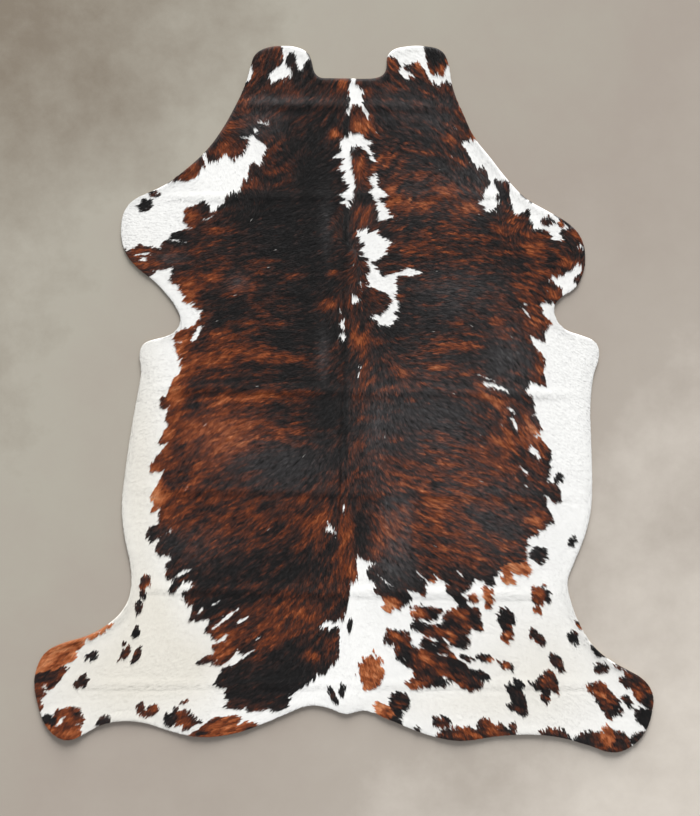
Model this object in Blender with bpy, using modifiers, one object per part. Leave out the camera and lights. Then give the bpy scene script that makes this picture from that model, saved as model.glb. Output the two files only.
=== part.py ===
# Cowhide rug: one whole hide with its hair on, spread flat on the ground, coat upwards.
# X runs across the hide, Y from the tail (-Y) to the neck (+Y) and Z up.
# The origin is on the ground, below the middle of the box round the outline.

import math

import bmesh
import bpy
from mathutils import Vector

CM = 0.01
MM = 0.001

# The leather is about 2 mm thick and the coat lies 3 mm deep on it.
HIDE_THICKNESS = 5.0 * MM

# Steps of the smooth outline between two of its knots.
OUTLINE_STEPS = 3

# The sheet can bend where it is cut into panels of about this size.
PANEL = 7.5 * CM

# Share of the length at each end of a crease over which it fades away.
CREASE_FADE = 0.15

# The outline as a tanner would lay it out: a row for each knot of the smooth curve,
# in centimetres from the spine (x, to the right) and from mid length (y, to the neck).
# The stretches follow one another anticlockwise, from the middle of the neck.
OUTLINE = {
    "neck edge": (
        # x, y
        (1.8, 96.2),
        (-4.4, 96.3),
        (-7.3, 96.5),
    ),
    "left ear lobe": (
        (-8.9, 98.0),
        (-9.6, 100.8),
        (-10.8, 103.7),
        (-13.8, 105.4),
        (-18.3, 105.9),
        (-23.4, 105.3),
        (-26.7, 103.2),
        (-27.9, 99.6),
    ),
    "left side of the neck": (
        (-29.6, 94.2),
        (-32.8, 87.4),
        (-36.7, 80.6),
        (-41.3, 74.5),
        (-47.3, 69.0),
        (-53.8, 64.2),
        (-59.8, 61.4),
    ),
    "left foreleg": (
        (-63.4, 59.4),
        (-65.7, 56.4),
        (-66.7, 52.0),
        (-66.4, 47.2),
        (-65.0, 43.3),
        (-61.6, 39.3),
    ),
    "left armpit": (
        (-57.4, 36.0),
        (-53.3, 31.8),
        (-50.1, 27.4),
        (-48.9, 23.7),
        (-50.0, 20.8),
        (-53.2, 18.9),
    ),
    "left flank": (
        (-57.0, 17.9),
        (-59.9, 16.7),
        (-61.1, 14.2),
        (-60.7, 8.5),
        (-62.1, 0.0),
        (-63.9, -10.5),
        (-65.4, -21.0),
        (-66.5, -31.5),
        (-65.7, -41.0),
        (-63.8, -50.5),
        (-63.9, -57.5),
    ),
    "left hind leg": (
        (-66.0, -62.7),
        (-70.6, -67.3),
        (-76.8, -70.8),
        (-84.4, -73.1),
        (-89.3, -75.8),
        (-92.0, -80.6),
        (-92.7, -85.6),
        (-91.4, -92.2),
        (-89.3, -97.7),
        (-86.0, -101.0),
        (-82.5, -102.0),
        (-78.9, -100.7),
    ),
    "left side of the rump": (
        (-73.4, -97.7),
        (-66.6, -96.3),
        (-59.6, -96.9),
        (-52.0, -99.3),
        (-43.2, -101.0),
        (-34.2, -100.3),
        (-25.8, -97.7),
        (-18.0, -94.4),
        (-10.2, -91.6),
    ),
    "root of the tail": (
        (-4.8, -92.3),
        (0.6, -94.2),
        (3.2, -93.6),
        (6.6, -93.1),
    ),
    "right side of the rump": (
        (11.4, -94.9),
        (17.8, -97.6),
        (25.8, -100.6),
        (34.8, -102.2),
        (45.3, -100.9),
        (55.8, -100.3),
        (64.8, -101.2),
    ),
    "right hind leg": (
        (73.8, -103.7),
        (81.0, -105.7),
        (86.4, -103.7),
        (90.3, -99.3),
        (92.4, -92.9),
        (92.5, -88.4),
        (90.0, -84.2),
        (84.6, -80.9),
        (78.9, -77.6),
        (73.8, -72.8),
        (70.2, -66.6),
    ),
    "right flank": (
        (67.8, -60.0),
        (66.9, -54.6),
        (68.5, -49.8),
        (71.7, -42.0),
        (73.8, -33.9),
        (74.3, -26.0),
        (74.0, -12.3),
        (73.8, -1.8),
        (74.7, 7.2),
        (76.4, 13.6),
        (75.4, 17.0),
    ),
    "right armpit": (
        (71.0, 19.2),
        (66.2, 21.0),
        (63.4, 24.4),
        (63.0, 28.0),
        (65.2, 30.8),
        (69.2, 33.4),
    ),
    "right foreleg": (
        (71.5, 37.6),
        (72.3, 42.6),
        (71.2, 48.0),
        (68.0, 52.2),
        (61.8, 56.0),
        (54.3, 60.4),
    ),
    "right side of the neck": (
        (48.9, 66.0),
        (43.8, 72.5),
        (39.0, 78.6),
        (36.0, 84.9),
        (33.6, 90.3),
        (31.9, 96.3),
    ),
    "right ear lobe": (
        (31.1, 101.2),
        (29.3, 104.4),
        (24.6, 105.8),
        (18.3, 105.7),
        (14.5, 104.6),
        (13.0, 102.7),
        (12.9, 99.8),
        (12.0, 97.5),
        (9.9, 96.4),
        (6.2, 96.1),
    ),
}

# Pressed-in folds of the hide that still stand up from the ground as soft ridges.
# "across" folds run along X at y = place, "along" folds run along Y at x = place.
FOLDS = (
    # name, way, place cm, from cm, to cm, turn deg, height mm, half width cm
    ("neck fold", "across", 87.6, -36.0, 36.0, -1.0, 4.0, 2.5),
    ("shoulder fold", "across", 60.6, -62.0, 56.0, 0.5, 2.5, 2.5),
    ("chest fold", "across", 31.8, -54.0, 66.0, 0.0, 1.5, 3.0),
    ("middle fold", "across", 2.0, -63.0, 75.0, -0.9, 4.0, 3.0),
    ("loin fold", "across", -28.6, -67.0, 75.0, -0.9, 3.5, 3.0),
    ("hip fold", "across", -58.2, -66.0, 69.0, -1.0, 4.5, 3.0),
    ("rump fold", "across", -86.0, -92.0, 92.0, 0.0, 2.0, 3.0),
    ("spine fold", "along", 0.4, -92.0, 96.0, 0.8, 2.5, 3.5),
    ("left side fold", "along", -29.7, -98.0, 94.0, 0.0, 2.0, 3.0),
    ("right side fold", "along", 36.6, -101.0, 78.0, 0.0, 2.0, 3.0),
)

# Places where the rim of the hide has dried a little off the ground.
RIM_LIFTS = (
    # name, x cm, y cm, reach cm, height mm
    ("left ear corner", -27.0, 104.0, 12.0, 3.0),
    ("right ear corner", 29.0, 104.0, 12.0, 3.0),
    ("left foreleg end", -66.0, 52.0, 14.0, 3.0),
    ("right foreleg end", 71.0, 45.0, 14.0, 3.0),
    ("left belly corner", -61.0, 14.0, 12.0, 5.0),
    ("right belly corner", 76.0, 14.0, 12.0, 5.0),
    ("left hock", -90.0, -83.0, 16.0, 4.0),
    ("left leg end", -83.0, -102.0, 14.0, 6.0),
    ("left rump edge", -43.0, -102.0, 18.0, 7.0),
    ("tail edge", 1.0, -95.0, 12.0, 5.0),
    ("right rump edge", 35.0, -103.0, 18.0, 7.0),
    ("right leg end", 81.0, -106.0, 14.0, 6.0),
    ("right hock", 91.0, -88.0, 14.0, 4.0),
)

COAT_COLOUR = (0.085, 0.035, 0.02, 1.0)
COAT_ROUGHNESS = 0.55


def clear_scene():
    for thing in list(bpy.data.objects):
        bpy.data.objects.remove(thing, do_unlink=True)


def make_collection(name):
    collection = bpy.data.collections.new(name)
    bpy.context.scene.collection.children.link(collection)
    return collection


def make_material(name, colour, roughness):
    material = bpy.data.materials.new(name)
    material.use_nodes = True
    shader = material.node_tree.nodes["Principled BSDF"]
    shader.inputs["Base Color"].default_value = colour
    shader.inputs["Roughness"].default_value = roughness
    shader.inputs["Metallic"].default_value = 0.0
    return material


def outline_knots():
    """The knots of the whole outline, in metres."""
    return [Vector((x, y, 0.0)) * CM for rows in OUTLINE.values() for x, y in rows]


def outline_curve(name, collection):
    """A closed flat curve that passes smoothly through the knots."""
    curve = bpy.data.curves.new(name, "CURVE")
    curve.dimensions = "2D"
    curve.fill_mode = "BOTH"
    curve.resolution_u = OUTLINE_STEPS
    knots = outline_knots()
    spline = curve.splines.new("BEZIER")
    spline.bezier_points.add(len(knots) - 1)
    spline.use_cyclic_u = True
    for point, knot in zip(spline.bezier_points, knots):
        point.co = knot
        point.handle_left_type = "AUTO"
        point.handle_right_type = "AUTO"
    outline = bpy.data.objects.new(name, curve)
    collection.objects.link(outline)
    return outline


def flat_sheet(outline):
    """The inside of the outline as one flat face, centred on the origin."""
    bpy.context.view_layer.update()
    depsgraph = bpy.context.evaluated_depsgraph_get()
    mesh = bpy.data.meshes.new_from_object(outline.evaluated_get(depsgraph))
    sheet = bmesh.new()
    sheet.from_mesh(mesh)
    bpy.data.meshes.remove(mesh)
    bmesh.ops.remove_doubles(sheet, verts=sheet.verts, dist=0.01 * MM)
    bmesh.ops.dissolve_faces(sheet, faces=sheet.faces, use_verts=False)
    xs = [vert.co.x for vert in sheet.verts]
    ys = [vert.co.y for vert in sheet.verts]
    middle = Vector(((min(xs) + max(xs)) / 2, (min(ys) + max(ys)) / 2, 0.0))
    bmesh.ops.translate(sheet, verts=sheet.verts, vec=-middle)
    for face in sheet.faces:
        if face.normal.z < 0:
            face.normal_flip()
    return sheet


def cut(sheet, point, direction):
    """Cut the sheet along the vertical plane through point, square to direction."""
    bmesh.ops.bisect_plane(
        sheet,
        geom=list(sheet.verts) + list(sheet.edges) + list(sheet.faces),
        dist=0.05 * MM,
        plane_co=point,
        plane_no=direction,
    )


def fold_axes(way, place, turn):
    """A point on the fold, its run and the direction across it."""
    angle = math.radians(turn)
    if way == "across":
        point = Vector((0.0, place * CM, 0.0))
        run = Vector((math.cos(angle), math.sin(angle), 0.0))
    else:
        point = Vector((place * CM, 0.0, 0.0))
        run = Vector((-math.sin(angle), math.cos(angle), 0.0))
    across = Vector((-run.y, run.x, 0.0))
    return point, run, across


def cut_panels(sheet):
    """Cut the sheet at its folds, and between them into panels."""
    for name, way, place, start, end, turn, height, half_width in FOLDS:
        point, run, across = fold_axes(way, place, turn)
        for side in (-1.0, 0.0, 1.0):
            cut(sheet, point + across * half_width * CM * side, across)
    reach_x = max(vert.co.x for vert in sheet.verts)
    reach_y = max(vert.co.y for vert in sheet.verts)
    for reach, direction in ((reach_x, Vector((1, 0, 0))), (reach_y, Vector((0, 1, 0)))):
        count = int(reach / PANEL)
        for step in range(-count, count + 1):
            cut(sheet, direction * step * PANEL, direction)


def smooth(share):
    """0 below 0, 1 above 1 and a soft ramp between."""
    share = min(max(share, 0.0), 1.0)
    return share * share * (3.0 - 2.0 * share)


def fold_height(x, y):
    """How far the folds lift the sheet at a place."""
    height = 0.0
    for name, way, place, start, end, turn, rise, half_width in FOLDS:
        point, run, across = fold_axes(way, place, turn)
        from_point = Vector((x, y, 0.0)) - point
        side = abs(from_point.dot(across)) / (half_width * CM)
        along = (from_point.dot(run) / CM - start) / (end - start)
        ends = smooth(along / CREASE_FADE) * smooth((1.0 - along) / CREASE_FADE)
        height = max(height, rise * MM * ends * smooth(1.0 - side))
    return height


def rim_height(x, y):
    """How far the dried rim lifts the sheet at a place."""
    height = 0.0
    for name, place_x, place_y, reach, rise in RIM_LIFTS:
        distance = math.hypot(x - place_x * CM, y - place_y * CM) / (reach * CM)
        height = max(height, rise * MM * smooth(1.0 - distance))
    return height


def make_hide(collection):
    outline = outline_curve("outline", collection)
    sheet = flat_sheet(outline)
    bpy.data.objects.remove(outline, do_unlink=True)
    cut_panels(sheet)
    for vert in sheet.verts:
        vert.co.z = max(fold_height(vert.co.x, vert.co.y), rim_height(vert.co.x, vert.co.y))
    bmesh.ops.triangulate(sheet, faces=sheet.faces)

    mesh = bpy.data.meshes.new("hide")
    sheet.to_mesh(mesh)
    sheet.free()
    mesh.materials.append(make_material("cowhide", COAT_COLOUR, COAT_ROUGHNESS))
    hide = bpy.data.objects.new("hide", mesh)
    collection.objects.link(hide)

    thickness = hide.modifiers.new("thickness", "SOLIDIFY")
    thickness.thickness = HIDE_THICKNESS
    thickness.offset = 1.0
    return hide


clear_scene()
make_hide(make_collection("cowhide_rug"))
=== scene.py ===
import math

import bmesh
import bpy
import numpy as np
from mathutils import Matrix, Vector, geometry, kdtree


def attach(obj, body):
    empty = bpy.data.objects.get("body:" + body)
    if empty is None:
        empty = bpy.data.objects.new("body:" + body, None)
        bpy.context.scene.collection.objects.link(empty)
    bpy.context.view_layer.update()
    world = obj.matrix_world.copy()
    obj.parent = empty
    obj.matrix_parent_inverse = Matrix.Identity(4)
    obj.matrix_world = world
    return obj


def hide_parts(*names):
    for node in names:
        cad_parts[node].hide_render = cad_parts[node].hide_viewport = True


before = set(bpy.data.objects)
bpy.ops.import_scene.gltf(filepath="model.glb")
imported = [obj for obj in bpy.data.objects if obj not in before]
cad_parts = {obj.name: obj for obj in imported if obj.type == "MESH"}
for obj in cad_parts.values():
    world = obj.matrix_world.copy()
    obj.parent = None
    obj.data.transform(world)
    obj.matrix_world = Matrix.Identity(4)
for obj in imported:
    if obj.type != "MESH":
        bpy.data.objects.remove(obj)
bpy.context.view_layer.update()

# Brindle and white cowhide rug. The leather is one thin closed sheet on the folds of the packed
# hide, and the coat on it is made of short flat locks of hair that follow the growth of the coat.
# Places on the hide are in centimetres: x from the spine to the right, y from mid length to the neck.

cm = 0.01
mm = 0.001

# Starts of the random numbers, one for each use.
seeds = {
    "wanderX": 21,
    "wanderY": 22,
    "blotches": 23,
    "lumps": 24,
    "waves": 31,
    "curl": 32,
    "folds": 40,  # of the first fold, and one more for each after it
    "lines": 60,  # of the first line of painted crease shade, and so on
    "roots": 51,
    "locks": 61,
    "hairs": 62,
}


def linear(hexCode):
    # an sRGB hex colour as the linear values that shaders take
    parts = [int(hexCode[i:i + 2], 16) / 255 for i in (1, 3, 5)]
    return [p / 12.92 if p <= 0.04045 else ((p + 0.055) / 1.055) ** 2.4 for p in parts]


def addNode(tree, kind, settings=None, values=None, links=None):
    # a new shader node with its options set, its inputs filled and its inputs linked
    node = tree.nodes.new(kind)
    for name, value in (settings or {}).items():
        setattr(node, name, value)
    for name, value in (values or {}).items():
        node.inputs[name].default_value = value
    for name, source in (links or {}).items():
        tree.links.new(source, node.inputs[name])
    return node


def newMaterial(name):
    material = bpy.data.materials.new(name)
    material.use_nodes = True
    material.node_tree.nodes.clear()
    return material, material.node_tree


def setRamp(node, stops):
    # places the colours of a ramp node, given as share and hex colour
    elements = node.color_ramp.elements
    while len(elements) < len(stops):
        elements.new(1.0)
    for element, (share, code) in zip(elements, stops):
        element.position = share
        element.color = linear(code) + [1]


def newPiece(name, points, faces):
    mesh = bpy.data.meshes.new(name)
    mesh.from_pydata(points, [], faces)
    mesh.update()
    piece = bpy.data.objects.new(name, mesh)
    bpy.context.scene.collection.objects.link(piece)
    return piece


def smooth(share):
    # 0 below 0, 1 above 1 and a soft ramp between
    share = np.clip(share, 0.0, 1.0)
    return share * share * (3.0 - 2.0 * share)


def mix(low, high, share):
    return low * (1 - share) + high * share


def evenNet(low, high, step):
    # points of a net of even triangles between two corners
    x, y = np.meshgrid(np.arange(low[0], high[0], step),
                       np.arange(low[1], high[1], step * math.sqrt(3) / 2))
    x[1::2] += step / 2
    return np.stack([x.ravel(), y.ravel()], axis=1)


def areaOf(outline):
    # area inside an outline, below 0 where it runs clockwise
    ahead = np.roll(outline, -1, axis=0)
    return np.sum(outline[:, 0] * ahead[:, 1] - ahead[:, 0] * outline[:, 1]) / 2


def outwardOf(outline):
    # the direction out of an anticlockwise outline at each of its points
    run = np.roll(outline, -1, axis=0) - np.roll(outline, 1, axis=0)
    out = np.stack([run[:, 1], -run[:, 0]], axis=1)
    return out / np.maximum(np.linalg.norm(out, axis=1), 1e-9)[:, None]


# Where the tips of the hair point: 0 to the right, 90 to the neck, 180 to the left, 270 to the tail.
hairLie = (
    # x, y, degrees
    (-23, 100, 245), (-14, 98, 250), (-6, 88, 228), (-22, 86, 215), (-33, 81, 350), (-27, 80, 305),
    (-24, 83, 320), (-23, 76, 300), (-19, 72, 320), (-36, 73, 270), (-42, 71, 275), (-46, 67, 220),
    (-27, 64, 290), (-55, 52, 195), (-35, 45, 191), (-2, 70, 200), (-3, 60, 205), (-2, 40, 200),
    (-18, 12, 175), (-40, 10, 210), (-47, 0, 228), (-40, -10, 225), (-30, -8, 208), (-15, -8, 192),
    (-50, -20, 230), (-30, -30, 218), (-10, -30, 225), (-5, -25, 240), (-40, -40, 222), (-20, -45, 215),
    (-30, -65, 217), (-20, -85, 215), (-5, -70, 250), (-60, -60, 260), (-65, -76, 235), (-78, -84, 228),
    (-85, -76, 218), (-60, -93, 235), (-50, -95, 230), (-35, -98, 200), (-83, -97, 225), (-3, -88, 280),
    (-20, 30, 185), (-20, 50, 190), (-62, 10, 215), (-63, -30, 235), (-65, 48, 195), (-12, 20, 185),
    (-2, 5, 215), (-2, -10, 225), (-2.5, -45, 255), (-18, 62, 200), (-12, 82, 220), (-3, 93, 240),
    (-30, 96, 235), (28, 100, 290), (20, 97, 315), (18, 90, 315), (31, 94, 280), (10, 74, 350),
    (12, 62, 350), (20, 70, 348), (31, 78, 300), (37, 73, 290), (40, 55, 352), (60, 45, 350),
    (25, 18, 5), (45, 25, 330), (55, 20, 305), (58, 10, 300), (50, -5, 303), (42, -10, 320),
    (20, -22, 325), (30, -15, 347), (30, -27, 345), (10, -35, 305), (5, -40, 285), (25, -40, 335),
    (40, -40, 333), (55, -45, 330), (10, -60, 310), (30, -70, 322), (58, -72, 310), (62, -78, 300),
    (80, -90, 310), (88, -85, 310), (12, -93, 330), (1, -60, 270), (4, 85, 280), (9, 88, 320),
    (5, 54, 80), (10, 48, 20), (13, 40, 355), (11, 28, 340), (4, 25, 275), (4, 0, 280), (4, -20, 285),
    (47, 62, 270), (52, 56, 230), (70, 38, 250), (73, 10, 320), (72, -30, 310), (65, -55, 310),
    (28, 35, 358), (28, 55, 352), (40, 35, 350), (45, -96, 300), (70, -100, 290), (30, -98, 300),
)

# The brown and black bands of the brindle run round the body: degrees above the right.
bandRuns = (
    # x, y, degrees
    (-25, 101, 70), (-12, 97, 55), (-3, 92, 75), (-25, 88, 30), (-12, 88, 15), (-33, 81, 8),
    (-36, 73, 40), (-45, 67, 40), (-22, 75, 25), (-12, 78, 45), (-5, 68, 30), (-25, 62, 12),
    (-40, 55, 20), (-15, 56, 15), (-60, 43, -4), (-50, 43, 6), (-35, 45, 8), (-18, 45, 6), (-8, 45, 12),
    (-45, 35, 12), (-25, 36, 8), (-10, 34, 10), (-38, 26, 10), (-15, 26, 0), (-49, 16, 32),
    (-38, 14, 14), (-22, 13, -3), (-10, 12, -8), (-50, 2, 20), (-38, 2, 14), (-22, 2, 4), (-10, 0, -4),
    (-50, -12, 32), (-35, -12, 20), (-20, -10, 6), (-8, -10, -5), (-54, -28, 10), (-40, -28, 20),
    (-20, -25, 12), (-52, -42, 40), (-35, -42, 34), (-18, -42, 38), (-8, -40, 52), (-45, -58, 25),
    (-30, -60, 32), (-12, -62, 40), (-35, -76, 28), (-20, -84, 15), (-8, -76, 50), (0.5, 88, 88),
    (4, 68, 85), (0.5, 50, 90), (1, 25, 88), (1, 5, 90), (1, -15, 88), (0, -35, 88), (0, -52, 85),
    (18, 98, -50), (28, 101, -70), (12, 92, -20), (22, 88, -8), (31, 90, -45), (9, 83, -60),
    (15, 73, 60), (25, 73, -50), (25, 65, 45), (34, 75, -45), (18, 58, 70), (32, 58, -60), (26, 51, 30),
    (45, 62, -75), (48, 53, -10), (15, 44, 5), (30, 45, 0), (45, 43, -4), (60, 43, -8), (69, 46, -60),
    (28, 30, 2), (45, 30, -5), (56, 28, -20), (15, 16, 2), (30, 16, 3), (45, 20, -8), (57, 20, -30),
    (20, 9, 6), (35, 8, 6), (50, 6, -25), (58, 8, -60), (14, -6, -10), (28, -6, -5), (42, -2, -30),
    (52, -8, -62), (58, -15, -55), (13, -22, -22), (25, -22, -12), (40, -24, -14), (53, -24, -25),
    (10, -38, -60), (22, -38, -28), (36, -40, -22), (50, -40, -20), (58, -37, -25), (12, -54, -40),
    (25, -52, -32), (38, -52, -22), (24, -64, -25), (35, -67, -40), (20, -78, -45), (28, -80, -25),
    (25, -85, 8), (38, -84, -30),
)

lie = {
    "reach": (96.0, 110.0),  # half width and half length of the maps, cm
    "step": 0.25,  # between two places of the streak maps, cm
    "coarseStep": 1.0,  # between two places of the lie map, cm
    "softness": 3.0,  # over which two neighbouring directions blend, cm
    "fade": 3.2,  # how fast a direction loses its say with distance
}

# Streaks of like hairs, as threads of even tone that follow the bands or the lie.
streakKinds = {
    # name: run, width cm, length cm, seed
    "bands": ("bands", 2.0, 9.0, 11),
    "stripes": ("bands", 0.5, 4.5, 12),
    "strands": ("hair", 0.3, 1.8, 13),
    "tips": ("hair", 0.4, 3.0, 14),
}


def mapShape(step):
    return tuple(int(round(2 * reach / step)) + 1 for reach in reversed(lie["reach"]))


def mapPlaces(step):
    rows, columns = mapShape(step)
    y, x = np.mgrid[0:rows, 0:columns]
    reachX, reachY = lie["reach"]
    return np.stack([x.ravel() * step - reachX, y.ravel() * step - reachY], axis=1)


def readMap(values, step, places):
    # the map's value at each place, straight between its nearest four
    rows, columns = mapShape(step)
    reachX, reachY = lie["reach"]
    x = np.clip((places[:, 0] + reachX) / step, 0, columns - 1.001)
    y = np.clip((places[:, 1] + reachY) / step, 0, rows - 1.001)
    column = x.astype(np.int32)
    row = y.astype(np.int32)
    shareX = x - column
    shareY = y - row
    if values.ndim == 3:
        shareX = shareX[:, None]
        shareY = shareY[:, None]
    low = mix(values[row, column], values[row, column + 1], shareX)
    high = mix(values[row + 1, column], values[row + 1, column + 1], shareX)
    return mix(low, high, shareY)


def makeRunMap(rows):
    # the directions of a table blended over the whole hide
    places = mapPlaces(lie["coarseStep"])
    table = np.array(rows, float)
    angles = np.radians(table[:, 2])
    total = np.zeros((len(places), 2))
    for (x, y), angle in zip(table[:, :2], angles):
        apart = (places[:, 0] - x) ** 2 + (places[:, 1] - y) ** 2
        weight = (apart + lie["softness"] ** 2) ** (-lie["fade"] / 2)
        total += weight[:, None] * np.array([math.cos(angle), math.sin(angle)])
    total /= np.linalg.norm(total, axis=1)[:, None] + 1e-9
    return total.reshape(mapShape(lie["coarseStep"]) + (2,))


runMaps = {"hair": makeRunMap(hairLie), "bands": makeRunMap(bandRuns)}


def lieAt(places, kind="hair"):
    run = readMap(runMaps[kind], lie["coarseStep"], places)
    return run / (np.linalg.norm(run, axis=1)[:, None] + 1e-9)


def clouds(places, size, seed):
    # soft random values from -1 to 1, about size cm across
    last = 127
    table = np.random.default_rng(seed).uniform(-1, 1, (last + 1, last + 1))
    spot = places / size
    corner = np.floor(spot).astype(np.int64)
    part = smooth(spot - corner)
    x, y = corner[:, 0] % last, corner[:, 1] % last
    low = mix(table[y, x], table[y, x + 1], part[:, 0])
    high = mix(table[y + 1, x], table[y + 1, x + 1], part[:, 0])
    return mix(low, high, part[:, 1])


def patchy(places, part, size, seed):
    # a share that changes by part from place to place and is 1 at most
    return 1 - part + part * clouds(places, size, seed)


def makeStreakMaps():
    # each place takes the mean of a random field along its own hair line
    step = lie["step"]
    places = mapPlaces(step)
    maps = {}
    for name, (kind, width, length, seed) in streakKinds.items():
        flow = lieAt(places, kind).astype(np.float32)
        field = clouds(places, width, seed).astype(np.float32).reshape(mapShape(step))
        stride = max(step, width / 2)
        count = int(length / 2 / stride)
        total = field.ravel().copy()
        for way in (-1.0, 1.0):
            spot = places.astype(np.float32)
            run = flow
            for index in range(1, count + 1):
                spot = spot + run * (way * stride)
                # places count for less the further along the hair they lie
                weight = 0.5 + 0.5 * math.cos(math.pi * index / (count + 1))
                total += weight * readMap(field, step, spot)
                run = lieAt(spot, kind).astype(np.float32)
        total -= total.mean()
        total /= total.std()
        maps[name] = total.reshape(mapShape(step))
    return maps


streakMaps = makeStreakMaps()
print("lie of the hair and its streaks are worked out")


def streak(name, places):
    return readMap(streakMaps[name], lie["step"], places)


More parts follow.
